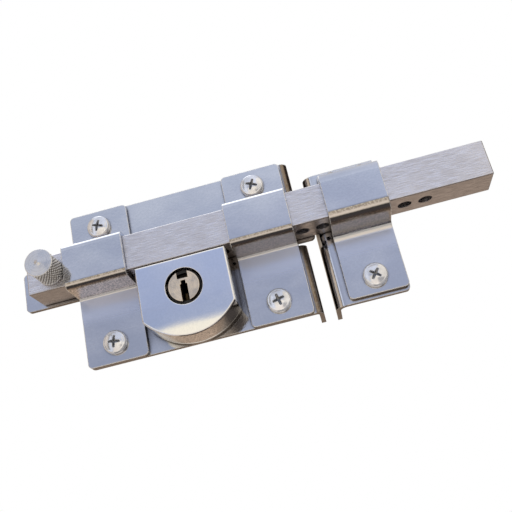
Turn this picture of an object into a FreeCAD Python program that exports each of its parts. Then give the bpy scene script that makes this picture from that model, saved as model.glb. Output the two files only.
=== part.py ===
import FreeCAD, Part
import math
import os
import re
import Sketcher

# Rim lock with a free-sliding square bolt.
# A flanged base plate carries two bent guides, a cylinder in its housing and the bolt.
# The key turns the plug, whose crank lifts a dog into one of the holes in the bolt's underside.
# The keeper is a second flanged plate with its own strap, fixed to the door frame.
# Frame: millimetres, X along the bolt towards its nose, Z up, fronts face -Y.
# Origin: centre of the four mounting screws, on the door face (the back of the base plate).

Vector = FreeCAD.Vector
Rotation = FreeCAD.Rotation
Placement = FreeCAD.Placement

SIZES = {
    # Bolt bar, the row of locking holes in its underside, and where it lies when thrown
    "bar_side": 15.9,
    "bar_length": 200.0,
    "bar_rise": 5.9,
    "bar_back_gap": 0.1,
    "bar_edge": 0.3,
    "lock_hole_depth": 8.0,
    "lock_hole_pitch": 8.8,
    "lock_hole_count": 13,
    # Travel of the bolt from thrown to drawn back, in hole pitches
    "travel_steps": 10,
    # Stop pin in the bar's back, which runs in a slot of the base plate
    "stop_place": 30.0,
    "stop_radius": 1.5,
    "stop_depth": 4.0,
    "stop_gap": 0.1,
    # Knurled knob near the bar's tail and its stud
    "knob_gap": 0.2,
    "knob_radius": 6.0,
    "knob_length": 13.4,
    "knob_neck_step": 0.7,
    "knob_neck_length": 1.0,
    "knob_chamfer": 0.4,
    "knob_crown": 0.7,
    "knob_dimple_radius": 0.7,
    "knob_dimple_depth": 0.6,
    "knob_to_tail": 10.8,
    "stud_radius": 2.5,
    "stud_in_bar": 8.0,
    "stud_in_knob": 7.0,
    "thread_gap": 0.05,
    # Base plate with its door-edge flange and the tongue behind the bolt
    "plate_sheet": 2.0,
    "plate_height": 72.0,
    "flange_step": 3.5,
    "flange_depth": 16.5,
    "flange_bend": 1.3,
    "tongue_tail": 8.5,
    "tongue_height": 18.4,
    "tongue_corner": 2.0,
    "bend_relief": 1.4,
    "sheet_corner": 2.0,
    # Guides bent over the bolt, each centred on a pair of mounting screws
    "guide_sheet": 2.0,
    "guide_width": 26.8,
    "guide_gap": 0.35,
    "guide_bend": 1.0,
    "screw_spacing_wide": 72.0,
    "screw_spacing_tall": 55.0,
    # Cylinder housing, a cup with straight sides and a round foot
    "housing_side_gap": 2.85,
    "housing_overhang": 0.3,
    "housing_arc": 25.0,
    "housing_wall": 1.6,
    "housing_corner": 2.0,
    "housing_edge": 0.8,
    "housing_gap": 0.3,
    "housing_dish": 135.0,
    "housing_dish_height": 15.5,
    "ring_gap": 1.4,
    "post_radius": 2.8,
    "post_wall_gap": 0.95,
    "post_upper": 8.0,
    "post_from_bottom": 11.3,
    # Cylinder body
    "shell_wall": 1.34,
    "foot_gap": 1.4,
    "foot_above_slide": 2.0,
    "block_width": 10.0,
    "bore_gap": 0.06,
    "cap_width": 4.4,
    "cap_sheet": 1.0,
    # Small countersunk screws from the back
    "small_screw_radius": 1.4,
    "small_head_radius": 2.7,
    "small_screw_length": 8.0,
    "cylinder_screw_radius": 1.2,
    "cylinder_head_radius": 2.3,
    "cylinder_screw_inset": 1.7,
    "clearance_hole_gap": 0.15,
    # Plug with its crank, circlip and keyway
    "barrel_radius": 6.0,
    "collar_step": 0.6,
    "running_gap": 0.1,
    "shell_to_barrel_end": 2.0,
    "clip_sheet": 0.7,
    "clip_stand": 1.2,
    "clip_groove": 0.8,
    "clip_mouth": 5.0,
    "crank_radius": 1.3,
    "crank_clearance": 0.3,
    "keyway_depth": 11.0,
    "blade_width": 1.2,
    "blade_top": 2.5,
    "step_width": 2.3,
    "step_top": 0.9,
    "mouth_extra": 0.8,
    "mouth_depth": 1.6,
    "window_width": 4.6,
    "window_bottom": 3.4,
    "window_depth": 2.5,
    # Pin tumblers, at the shear line as with the key in
    "pin_count": 3,
    "pin_front_inset": 2.2,
    "pin_back_inset": 1.8,
    "pin_radius": 1.2,
    "key_pin_short": 3.1,
    "key_pin_step": 0.6,
    "pin_tip": 0.7,
    "driver_length": 4.0,
    "shear_gap": 0.1,
    "spring_wall": 0.4,
    # Locking dog: a bent slide driven by the crank, and the pin on its arm
    "dog_stroke": 3.6,
    "dog_radius": 2.7,
    "dog_side_gap": 0.25,
    "dog_gap": 0.35,
    "dog_edge": 0.5,
    "spigot_radius": 1.5,
    "slide_sheet": 1.6,
    "slide_width": 16.0,
    "slide_below_crank": 3.45,
    "slide_shoulder": 5.3,
    "arm_width": 10.0,
    "arm_end": 0.25,
    "arm_gap": 0.2,
    "arm_headroom": 0.45,
    "slide_bend": 0.5,
    "crank_slack": 0.15,
    "rail_width": 2.5,
    "rail_lip": 1.1,
    "rail_sheet": 0.8,
    "rail_inset": 0.5,
    # Mounting screws
    "screw_radius": 2.4,
    "screw_neck_step": 0.4,
    "screw_hole_gap": 0.2,
    "screw_length": 14.0,
    "screw_tip": 3.0,
    "head_radius": 5.15,
    "head_height": 3.5,
    "head_rim": 0.7,
    "head_shoulder": 1.5,
    "head_shoulder_step": 0.55,
    "recess_reach": 2.6,
    "recess_width": 1.1,
    "recess_depth": 1.7,
    # Keeper: flanged plate, strap, rivets and one screw
    "keeper_gap": 5.2,
    "keeper_tongue_gap": 0.6,
    "keeper_sheet": 2.0,
    "keeper_bend": 3.0,
    "strap_bend": 3.0,
    "strap_step": 6.6,
    "strap_width": 25.4,
    "strap_set_in": 1.4,
    "strap_side_gap": 1.7,
    "strap_front_gap": 1.2,
    "keeper_screw_in": 7.5,
    "rivet_radius": 1.3,
    "rivet_head_radius": 1.9,
    "rivet_head_height": 1.2,
    "rivet_above_bend": 0.1,
    "rivet_spacing": 13.0,
    "strap_above_rivet": 2.3,
    "plate_above_strap": 1.35,
}

# Places worked out from the sizes, each a formula of the same sheet
PLACES = {
    "plate_front": "-plate_sheet",
    "bar_back": "plate_front - bar_back_gap",
    "bar_front": "bar_back - bar_side",
    "bar_middle": "bar_back - bar_side / 2",
    "bar_bottom": "bar_rise - bar_side / 2",
    "bar_top": "bar_rise + bar_side / 2",
    "bolt_travel": "travel_steps * lock_hole_pitch",
    "lock_hole_radius": "dog_radius + dog_side_gap",
    "tab_front": "plate_front - guide_sheet",
    "guide_inner_front": "bar_front - guide_gap",
    "guide_outer_front": "guide_inner_front - guide_sheet",
    "guide_inner_top": "bar_top + guide_gap",
    "guide_inner_bottom": "bar_bottom - guide_gap",
    "guide_outer_top": "guide_inner_top + guide_sheet",
    "guide_outer_bottom": "guide_inner_bottom - guide_sheet",
    "half_height": "plate_height / 2",
    "half_wide": "screw_spacing_wide / 2",
    "half_tall": "screw_spacing_tall / 2",
    "guide_outer_side": "half_wide + guide_width / 2",
    "guide_inner_side": "half_wide - guide_width / 2",
    "plate_left": "-guide_outer_side",
    "plate_bend_outer": "flange_bend + plate_sheet",
    "flange_face": "guide_outer_side + flange_step",
    "flange_inner": "flange_face - plate_sheet",
    "bend_start": "flange_face - plate_bend_outer",
    "keeper_flange": "flange_face + keeper_gap",
    "knob_x": "-guide_outer_side - knob_gap - knob_radius",
    "bar_tail": "knob_x - knob_to_tail",
    "tongue_left": "bar_tail - tongue_tail",
    "tongue_right": "keeper_flange - keeper_tongue_gap",
    "tongue_bottom": "bar_rise - tongue_height / 2",
    "tongue_top": "bar_rise + tongue_height / 2",
    "notch_bottom": "tongue_bottom - bend_relief",
    "notch_top": "tongue_top + bend_relief",
    "stop_run": "stop_radius + stop_gap",
    "slot_left": "stop_place - bolt_travel - stop_run",
    "slot_right": "stop_place + stop_run",
    "knob_front": "bar_front - knob_length",
    "knob_shoulder": "bar_front - knob_neck_length",
    "knob_neck_radius": "knob_radius - knob_neck_step",
    "knob_face_radius": "knob_radius - knob_chamfer",
    "knob_face": "knob_front + knob_crown",
    "knob_body_front": "knob_face + knob_chamfer",
    "screw_neck_radius": "screw_radius - screw_neck_step",
    "screw_hole_radius": "screw_radius + screw_hole_gap",
    "head_shoulder_radius": "head_radius - head_shoulder_step",
    "head_top_radius": "head_radius - head_shoulder_step - head_shoulder",
    "housing_half": "guide_inner_side - housing_side_gap",
    "housing_bottom": "half_height + housing_overhang",
    "housing_front": "bar_front",
    "housing_inner": "housing_front + housing_wall",
    "housing_top": "bar_bottom - housing_gap",
    "housing_arc_z": "housing_arc - housing_bottom",
    "dish_start": "housing_dish_height - housing_bottom",
    "post_half": "housing_half - housing_wall - post_radius - post_wall_gap",
    "post_lower": "housing_bottom - post_from_bottom",
    "bore_radius": "barrel_radius + bore_gap",
    "shell_radius": "bore_radius + shell_wall",
    "collar_radius": "barrel_radius + collar_step",
    "ring_radius": "collar_radius + ring_gap",
    "clip_radius": "barrel_radius + clip_stand",
    "groove_radius": "barrel_radius - clip_groove",
    "arm_top": "bar_bottom - arm_headroom - dog_stroke",
    "arm_bottom": "arm_top - slide_sheet",
    "axis_z": "arm_bottom - arm_gap - shell_radius",
    "slide_back": "plate_front - running_gap",
    "slide_front": "slide_back - slide_sheet",
    "barrel_rear": "slide_front - crank_clearance",
    "shell_rear": "barrel_rear - shell_to_barrel_end",
    "crank_end": "plate_front - crank_clearance",
    "collar_back": "housing_inner - running_gap",
    "block_half": "block_width / 2",
    "block_bottom": "housing_bottom - housing_wall - foot_gap",
    "cap_half": "cap_width / 2",
    "clip_front": "shell_rear + running_gap",
    "clip_back": "clip_front + clip_sheet",
    "groove_back": "clip_back + bore_gap",
    "crank_offset": "dog_stroke / 2",
    "crank_throw": "dog_stroke / sqrt(2)",
    "slide_bottom": "crank_offset - axis_z + slide_below_crank + crank_radius",
    "slide_shoulder_z": "axis_z + slide_shoulder",
    "foot_top": "slide_bottom + foot_above_slide",
    "cylinder_screw_x": "block_half - cylinder_screw_inset",
    "cylinder_screw_z": "-(foot_top + block_bottom) / 2",
    "chamber_bottom": "-block_bottom + cap_sheet",
    "chamber_radius": "pin_radius + running_gap",
    "pin_first": "housing_inner + pin_front_inset",
    "pin_pitch": "(shell_rear - pin_back_inset - pin_first) / (pin_count - 1)",
    "key_pin_bottom": "axis_z - barrel_radius + shear_gap",
    "driver_top": "axis_z - bore_radius - shear_gap / 2",
    "driver_bottom": "driver_top - driver_length",
    "slide_half": "slide_width / 2",
    "slide_bend_outer": "slide_bend + slide_sheet",
    "arm_front": "bar_middle - dog_radius - arm_end",
    "dog_top": "bar_bottom - dog_gap",
    "crank_slot_half": "crank_radius + crank_slack",
    "crank_slot_left": "-(crank_throw + crank_slot_half)",
    "crank_slot_right": "-(crank_offset - crank_slot_half)",
    "rail_inner": "slide_half + running_gap",
    "rail_front": "slide_front - running_gap - rail_sheet",
    "rail_top": "slide_shoulder_z - rail_inset",
    "rail_bottom": "-slide_bottom + 2 * rail_inset",
    "strap_left": "keeper_flange + strap_step",
    "keeper_right": "strap_left + strap_width",
    "strap_middle": "strap_left + strap_width / 2",
    "strap_inner_front": "bar_front - strap_front_gap",
    "strap_outer_front": "strap_inner_front - guide_sheet",
    "strap_inner_top": "bar_top + strap_side_gap",
    "strap_inner_bottom": "bar_bottom - strap_side_gap",
    "strap_outer_top": "strap_inner_top + guide_sheet",
    "strap_outer_bottom": "strap_inner_bottom - guide_sheet",
    "rivet_rise": "strap_outer_top + strap_bend + rivet_head_radius + rivet_above_bend",
    "strap_top": "rivet_rise + strap_above_rivet",
    "keeper_top": "strap_top + plate_above_strap",
    "strap_foot": "half_height - strap_set_in",
    "keeper_screw_drop": "strap_foot - keeper_screw_in",
}

doc = FreeCAD.newDocument("rim_lock")
sheet = doc.addObject("Spreadsheet::Sheet", "sizes")
scratch = doc.addObject("Spreadsheet::Sheet", "scratch")


def fill_sheet():
    """Write the sizes and the places worked out from them, one named cell each."""
    row = 0
    for name, value in SIZES.items():
        row += 1
        sheet.set(f"A{row}", name)
        sheet.set(f"B{row}", str(value))
        sheet.setAlias(f"B{row}", name)
    for name, formula in PLACES.items():
        row += 1
        sheet.set(f"A{row}", name)
        sheet.set(f"B{row}", "=" + formula)
        sheet.setAlias(f"B{row}", name)
    doc.recompute()


def bound(formula):
    """The formula with each of its words read from the sheet."""
    return re.sub(r"[a-z][a-z_]*", lambda word: "sizes." + word.group(0), formula)


def number(formula):
    """The formula's present value, worked out in a spare cell."""
    scratch.set("A1", "=" + bound(formula))
    scratch.recompute()
    return float(scratch.get("A1"))


def place(piece, x="0", y="0", z="0", turn=None):
    """Bind a piece's place to the sheet, with a fixed turn."""
    if turn:
        piece.Placement = Placement(Vector(), Rotation(*turn))
    for axis, formula in (("x", x), ("y", y), ("z", z)):
        piece.setExpression(f"Placement.Base.{axis}", bound(formula))
    return piece


def block(name, x, y, z):
    """Box between two places on each axis."""
    piece = doc.addObject("Part::Box", name)
    for side, (low, high) in (("Length", x), ("Width", y), ("Height", z)):
        piece.setExpression(side, bound(f"({high}) - ({low})"))
    return place(piece, x[0], y[0], z[0])


def rod_y(name, radius, y, x, z):
    """Cylinder along Y at a place in X and Z."""
    piece = doc.addObject("Part::Cylinder", name)
    piece.setExpression("Radius", bound(radius))
    piece.setExpression("Height", bound(f"({y[1]}) - ({y[0]})"))
    return place(piece, x, y[0], z, (Vector(1, 0, 0), -90))


def rod_z(name, radius, z, x, y):
    """Cylinder along Z at a place in X and Y."""
    piece = doc.addObject("Part::Cylinder", name)
    piece.setExpression("Radius", bound(radius))
    piece.setExpression("Height", bound(f"({z[1]}) - ({z[0]})"))
    return place(piece, x, y, z[0])


def cone_y(name, radius_low, radius_high, y, x, z):
    """Cone along Y, such as a countersink."""
    piece = doc.addObject("Part::Cone", name)
    piece.setExpression("Radius1", bound(radius_low))
    piece.setExpression("Radius2", bound(radius_high))
    piece.setExpression("Height", bound(f"({y[1]}) - ({y[0]})"))
    return place(piece, x, y[0], z, (Vector(1, 0, 0), -90))


def fuse(name, pieces):
    """One solid from several that meet."""
    piece = doc.addObject("Part::MultiFuse", name)
    piece.Shapes = pieces
    piece.Refine = True
    return piece


def cut(name, base, tools):
    """The base less every tool."""
    tool = tools[0] if len(tools) == 1 else fuse(name + "_tools", tools)
    piece = doc.addObject("Part::Cut", name)
    piece.Base = base
    piece.Tool = tool
    piece.Refine = True
    return piece


def common(name, pieces):
    """What the pieces share."""
    piece = doc.addObject("Part::MultiCommon", name)
    piece.Shapes = pieces
    return piece


def edges_where(shape, test):
    """Numbers of the edges whose middle and ends pass the test."""
    numbers = []
    for index, edge in enumerate(shape.Edges, 1):
        middle = edge.valueAt((edge.FirstParameter + edge.LastParameter) / 2)
        if test(edge, middle):
            numbers.append(index)
    return numbers


def along(edge, axis):
    """Whether an edge is straight and runs along one axis."""
    if len(edge.Vertexes) != 2:
        return False
    run = edge.Vertexes[1].Point - edge.Vertexes[0].Point
    return edge.Curve.TypeId == "Part::GeomLine" and abs(run.normalize().dot(axis)) > 0.999


def near(value, target):
    """Whether two lengths are the same to a hundredth of a millimetre."""
    return abs(value - target) < 0.01


def part_fillet(name, base, radius, test):
    """Round the edges of a boolean that pass the test."""
    doc.recompute()
    size = number(radius)
    piece = doc.addObject("Part::Fillet", name)
    piece.Base = base
    piece.Edges = [(index, size, size) for index in edges_where(base.Shape, test)]
    return piece


def new_body(name):
    """Empty body for sketched features."""
    return doc.addObject("PartDesign::Body", name)


def sketch_on(body, role, name, offset="0"):
    """Sketch on one of the body's own planes, moved off it along its normal."""
    sketch = body.newObject("Sketcher::SketchObject", name)
    plane = [item for item in body.Origin.OriginFeatures if item.Role == role][0]
    sketch.AttachmentSupport = [(plane, "")]
    sketch.MapMode = "FlatFace"
    sketch.setExpression("AttachmentOffset.Base.z", bound(offset))
    return sketch


def pin_down(sketch, item, point, across, up):
    """Fix a sketch point at two places of the sheet; None leaves one way free."""
    for kind, axis, formula in (("DistanceX", -2, across), ("DistanceY", -1, up)):
        if formula is None:
            continue
        value = number(formula)
        if near(value, 0):
            sketch.addConstraint(Sketcher.Constraint("PointOnObject", item, point, axis))
        elif value > 0:
            index = sketch.addConstraint(Sketcher.Constraint(kind, -1, 1, item, point, value))
            sketch.setExpression(f"Constraints[{index}]", bound(formula))
        else:
            index = sketch.addConstraint(Sketcher.Constraint(kind, item, point, -1, 1, -value))
            sketch.setExpression(f"Constraints[{index}]", bound(f"-({formula})"))


def circle(sketch, radius, across="0", up="0"):
    """Circle with its centre and radius bound to the sheet."""
    centre = Vector(number(across), number(up), 0)
    item = sketch.addGeometry(Part.Circle(centre, Vector(0, 0, 1), number(radius)), False)
    pin_down(sketch, item, 3, across, up)
    index = sketch.addConstraint(Sketcher.Constraint("Radius", item, number(radius)))
    sketch.setExpression(f"Constraints[{index}]", bound(radius))


def outline(sketch, corners):
    """Closed outline of straight lines through corners given as pairs of formulas."""
    points = [Vector(number(across), number(up), 0) for across, up in corners]
    items = []
    for start, end in zip(points, points[1:] + points[:1]):
        items.append(sketch.addGeometry(Part.LineSegment(start, end), False))
    for item, following in zip(items, items[1:] + items[:1]):
        sketch.addConstraint(Sketcher.Constraint("Coincident", item, 2, following, 1))
    for item, (across, up) in zip(items, corners):
        pin_down(sketch, item, 1, across, up)


def square_outline(sketch, runs, radii):
    """Closed outline of level and upright runs with rounded corners.

    Each run is ("level", height) or ("upright", place across); radii holds one
    formula, or None for a sharp corner, for the corner after each run.
    """
    count = len(runs)
    corners = []
    for index, (kind, formula) in enumerate(runs):
        other = runs[(index + 1) % count][1]
        across, up = (other, formula) if kind == "level" else (formula, other)
        corners.append(Vector(number(across), number(up), 0))
    sizes = [number(radius) if radius else 0.0 for radius in radii]
    ways = [(corners[i] - corners[i - 1]).normalize() for i in range(count)]
    items = []
    for i, (kind, formula) in enumerate(runs):
        start = corners[i - 1] + ways[i] * sizes[i - 1]
        end = corners[i] - ways[i] * sizes[i]
        item = sketch.addGeometry(Part.LineSegment(start, end), False)
        items.append(item)
        if kind == "level":
            sketch.addConstraint(Sketcher.Constraint("Horizontal", item))
            pin_down(sketch, item, 1, None, formula)
        else:
            sketch.addConstraint(Sketcher.Constraint("Vertical", item))
            pin_down(sketch, item, 1, formula, None)
    for i in range(count):
        item, following = items[i], items[(i + 1) % count]
        if not radii[i]:
            sketch.addConstraint(Sketcher.Constraint("Coincident", item, 2, following, 1))
            continue
        arrive, leave = ways[i], ways[(i + 1) % count]
        centre = corners[i] + (leave - arrive) * sizes[i]
        first = math.atan2(-leave.y, -leave.x)
        last = math.atan2(arrive.y, arrive.x)
        left_turn = arrive.cross(leave).z > 0
        begin, finish = (first, last) if left_turn else (last, first)
        round_corner = Part.Circle(centre, Vector(0, 0, 1), sizes[i])
        arc = sketch.addGeometry(Part.ArcOfCircle(round_corner, begin, finish), False)
        enter, quit_point = (1, 2) if left_turn else (2, 1)
        sketch.addConstraint(Sketcher.Constraint("Tangent", item, 2, arc, enter))
        sketch.addConstraint(Sketcher.Constraint("Tangent", arc, quit_point, following, 1))
        index = sketch.addConstraint(Sketcher.Constraint("Radius", arc, sizes[i]))
        sketch.setExpression(f"Constraints[{index}]", bound(radii[i]))


def pad(body, sketch, name, length, side="One side", reverse=False):
    """Thicken a sketch into the body."""
    feature = body.newObject("PartDesign::Pad", name)
    feature.Profile = sketch
    feature.SideType = side
    feature.Reversed = reverse
    feature.setExpression("Length", bound(length))
    doc.recompute()
    return feature


def pocket(body, sketch, name, depth=None, side="One side", reverse=False):
    """Cut a sketch out of the body, to a depth or right through."""
    before = body.Shape.Volume
    feature = body.newObject("PartDesign::Pocket", name)
    feature.Profile = sketch
    feature.SideType = side
    feature.Reversed = reverse
    if depth:
        feature.setExpression("Length", bound(depth))
    else:
        feature.Type = "ThroughAll"
    doc.recompute()
    if body.Shape.Volume > before - 1e-6:
        raise ValueError(f"{name} cuts nothing")
    return feature


def pattern(body, feature, name, direction, count, step, reverse=False):
    """Repeat a feature at a steady pitch."""
    repeat = body.newObject("PartDesign::LinearPattern", name)
    repeat.Originals = [feature]
    repeat.Direction = direction
    repeat.Reversed = reverse
    repeat.Mode = "Spacing"
    repeat.setExpression("Offset", bound(step))
    repeat.setExpression("Occurrences", bound(count))
    body.Tip = repeat
    doc.recompute()
    return repeat


def revolve(body, sketch, name):
    """Turn a sketch round its upright axis."""
    feature = body.newObject("PartDesign::Revolution", name)
    feature.Profile = sketch
    feature.ReferenceAxis = (sketch, ["V_Axis"])
    feature.Angle = 360
    doc.recompute()
    return feature


def round_edges(body, name, radius, test, kind="Fillet"):
    """Round or bevel the body's edges that pass the test."""
    base = body.Tip
    chosen = edges_where(base.Shape, test)
    feature = body.newObject(f"PartDesign::{kind}", name)
    feature.Base = (base, [f"Edge{index}" for index in chosen])
    feature.setExpression("Radius" if kind == "Fillet" else "Size", bound(radius))
    doc.recompute()
    return feature


def turned(name, corners):
    """Body turned round the Y axis from corners given as radius and place along Y."""
    body = new_body(name)
    sketch = sketch_on(body, "XY_Plane", name + "_profile")
    outline(sketch, corners)
    revolve(body, sketch, name + "_turned")
    return body


def copies(name, master, places):
    """Separate solids of one shape, each at a place with its own turn about Y."""
    doc.recompute()
    solids = []
    for x, y, z, turn in places:
        spot = Placement(Vector(number(x), number(y), number(z)), Rotation(Vector(0, 1, 0), turn))
        solids.append(master.Shape.transformed(spot.toMatrix(), True))
    group = doc.addObject("Part::Feature", name)
    group.Shape = Part.makeCompound(solids)
    return group


SCREW_PLACES = [(x, z) for x in ("-half_wide", "half_wide") for z in ("half_tall", "-half_tall")]


def at_plate_corner(edge, middle):
    """Whether an edge is one of the four outer corners of the plate and its flange."""
    if not near(abs(middle.z), number("half_height")):
        return False
    if along(edge, Vector(0, 1, 0)):
        return near(middle.x, number("plate_left"))
    return along(edge, Vector(1, 0, 0)) and near(middle.y, number("flange_depth"))


def base_plate():
    """Plate with the door-edge flange, the tongue behind the bolt and the stop pin's slot."""
    body = new_body("base_plate_sheet")
    section = sketch_on(body, "XY_Plane", "plate_section")
    square_outline(
        section,
        [
            ("level", "plate_front"),
            ("upright", "flange_face"),
            ("level", "flange_depth"),
            ("upright", "flange_inner"),
            ("level", "0"),
            ("upright", "plate_left"),
        ],
        ["plate_bend_outer", None, None, "flange_bend", None, None],
    )
    pad(body, section, "plate_pad", "plate_height", side="Symmetric")
    round_edges(body, "plate_corners", "sheet_corner", at_plate_corner)
    notch = sketch_on(body, "XZ_Plane", "flange_notch")
    square_outline(
        notch,
        [
            ("level", "notch_bottom"),
            ("upright", "tongue_right + plate_sheet"),
            ("level", "notch_top"),
            ("upright", "bend_start"),
        ],
        [None] * 4,
    )
    pocket(body, notch, "flange_notch_cut", side="Symmetric")
    tongue = sketch_on(body, "XZ_Plane", "tongue_outline")
    square_outline(
        tongue,
        [
            ("level", "tongue_bottom"),
            ("upright", "tongue_right"),
            ("level", "tongue_top"),
            ("upright", "tongue_left"),
        ],
        ["tongue_corner"] * 4,
    )
    pad(body, tongue, "tongue_pad", "plate_sheet")
    holes = sketch_on(body, "XZ_Plane", "mounting_holes")
    for x, z in SCREW_PLACES:
        circle(holes, "screw_hole_radius", x, z)
    for side in ("-", ""):
        for drop in ("post_upper", "post_lower"):
            circle(holes, "small_screw_radius + clearance_hole_gap", side + "post_half", "-" + drop)
        circle(
            holes,
            "cylinder_screw_radius + clearance_hole_gap",
            side + "cylinder_screw_x",
            "cylinder_screw_z",
        )
    pocket(body, holes, "mounting_holes_cut", side="Symmetric")
    slot = sketch_on(body, "XZ_Plane", "stop_slot")
    square_outline(
        slot,
        [
            ("level", "bar_rise - stop_run"),
            ("upright", "slot_right"),
            ("level", "bar_rise + stop_run"),
            ("upright", "slot_left"),
        ],
        ["stop_run * 0.999"] * 4,
    )
    pocket(body, slot, "stop_slot_cut", side="Symmetric")
    sinks = []
    for index, (x, z, shank, head) in enumerate(back_screw_places()):
        sinks.append(
            cone_y(
                f"countersink_{index}",
                f"{shank} + clearance_hole_gap",
                f"{head} + clearance_hole_gap",
                (f"-({head} - {shank})", "0"),
                x,
                z,
            )
        )
    return cut("base_plate", body, sinks)


def back_screw_places():
    """Where the small countersunk screws sit, with the sizes of their shank and head."""
    places = []
    for side in ("-", ""):
        for drop in ("post_upper", "post_lower"):
            places.append((side + "post_half", "-" + drop, "small_screw_radius", "small_head_radius"))
        places.append(
            (
                side + "cylinder_screw_x",
                "cylinder_screw_z",
                "cylinder_screw_radius",
                "cylinder_head_radius",
            )
        )
    return places


def bent_strap(
    name, bend, inner_front, outer_front, inner_top, outer_top, inner_bottom, outer_bottom, top, foot
):
    """Body of a strap bent over the bolt, with a tab above and below it."""
    wide = f"{bend} + guide_sheet"
    body = new_body(name)
    section = sketch_on(body, "YZ_Plane", name + "_section")
    square_outline(
        section,
        [
            ("level", top),
            ("upright", "tab_front"),
            ("level", outer_top),
            ("upright", outer_front),
            ("level", outer_bottom),
            ("upright", "tab_front"),
            ("level", foot),
            ("upright", "plate_front"),
            ("level", inner_bottom),
            ("upright", inner_front),
            ("level", inner_top),
            ("upright", "plate_front"),
        ],
        [None, bend, wide, wide, bend, None, None, wide, bend, bend, wide, None],
    )
    return body, section


def round_tab_corners(body, name, half_width):
    """Round the four outer corners of a strap's tabs."""
    half = number(half_width)
    ends = [body.Shape.BoundBox.ZMin, body.Shape.BoundBox.ZMax]
    round_edges(
        body,
        name,
        "sheet_corner",
        lambda edge, middle: along(edge, Vector(0, 1, 0))
        and near(abs(middle.x), half)
        and (near(middle.z, ends[0]) or near(middle.z, ends[1])),
    )


def guide(name, x):
    """Guide bent over the bolt, screwed down through both tabs."""
    body, section = bent_strap(
        name,
        "guide_bend",
        "guide_inner_front",
        "guide_outer_front",
        "guide_inner_top",
        "guide_outer_top",
        "guide_inner_bottom",
        "guide_outer_bottom",
        "half_height",
        "-half_height",
    )
    pad(body, section, name + "_pad", "guide_width", side="Symmetric")
    holes = sketch_on(body, "XZ_Plane", name + "_holes")
    for z in ("half_tall", "-half_tall"):
        circle(holes, "screw_hole_radius", "0", z)
    pocket(body, holes, name + "_holes_cut", side="Symmetric")
    round_tab_corners(body, name + "_corners", "guide_width / 2")
    return place(body, x)


def housing_form(name, inset, front, top):
    """Block with the housing's straight sides and round foot, inset from its outline."""
    sides = block(
        name + "_sides",
        (f"-housing_half + {inset}", f"housing_half - {inset}"),
        (front, "plate_front"),
        ("-housing_bottom - 1", top),
    )
    foot = rod_y(
        name + "_foot", f"housing_arc - {inset}", (front, "plate_front"), "0", "housing_arc_z"
    )
    return common(name, [sides, foot])


def dished_front(name):
    """Form that is flat in front and leans back in a wide arc towards the foot."""
    across = ("-housing_half - 1", "housing_half + 1")
    arc = doc.addObject("Part::Cylinder", name + "_arc")
    arc.setExpression("Radius", bound("housing_dish"))
    arc.setExpression("Height", bound(f"({across[1]}) - ({across[0]})"))
    place(arc, across[0], "housing_front + housing_dish", "dish_start", (Vector(0, 1, 0), 90))
    flat = block(name + "_flat", across, ("housing_front", "plate_front + 1"), ("dish_start", "1"))
    return fuse(name, [arc, flat])


def cylinder_housing():
    """Cup over the cylinder, open towards the bolt, with four posts for its screws."""
    square = housing_form("housing_square", "0", "housing_front", "housing_top")
    solid = common("housing_outside", [square, dished_front("housing_dished")])
    half = number("housing_half")
    front = number("housing_front")
    cornered = part_fillet(
        "housing_cornered",
        solid,
        "housing_corner",
        lambda edge, middle: along(edge, Vector(0, 1, 0))
        and near(abs(middle.x), half)
        and middle.z < number("housing_arc_z"),
    )
    edged = part_fillet(
        "housing_edged",
        cornered,
        "housing_edge",
        lambda edge, middle: front - 0.01 < middle.y < front + number("housing_wall")
        and not along(edge, Vector(0, 1, 0))
        and not near(middle.z, number("dish_start")),
    )
    hollow = housing_form("housing_inside", "housing_wall", "housing_inner", "0")
    window = rod_y(
        "ring_window", "ring_radius", ("housing_front - 1", "housing_inner + 1"), "0", "axis_z"
    )
    cup = cut("housing_cup", edged, [hollow, window])
    posts = []
    bores = []
    for index, (x, z, shank, _) in enumerate(back_screw_places()):
        if shank != "small_screw_radius":
            continue
        posts.append(rod_y(f"post_{index}", "post_radius", ("housing_inner", "plate_front"), x, z))
        bores.append(
            rod_y(
                f"post_bore_{index}",
                "small_screw_radius + thread_gap",
                ("-small_screw_length - 1", "plate_front"),
                x,
                z,
            )
        )
    whole = fuse("housing_with_posts", [cup] + posts)
    return cut("cylinder_housing", whole, bores)


def small_screws(name, shank, head):
    """Countersunk screws put in from the back."""
    master = turned(
        name + "_master",
        [
            ("0", "-small_screw_length"),
            (shank, "-small_screw_length"),
            (shank, f"-({head} - {shank})"),
            (head, "0"),
            ("0", "0"),
        ],
    )
    spots = [(x, "0", z, 0) for x, z, size, _ in back_screw_places() if size == shank]
    return copies(name, master, spots)


def pin_rows():
    """Places of the pin chambers along the plug."""
    return [f"pin_first + {index} * pin_pitch" for index in range(int(number("pin_count")))]


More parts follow.
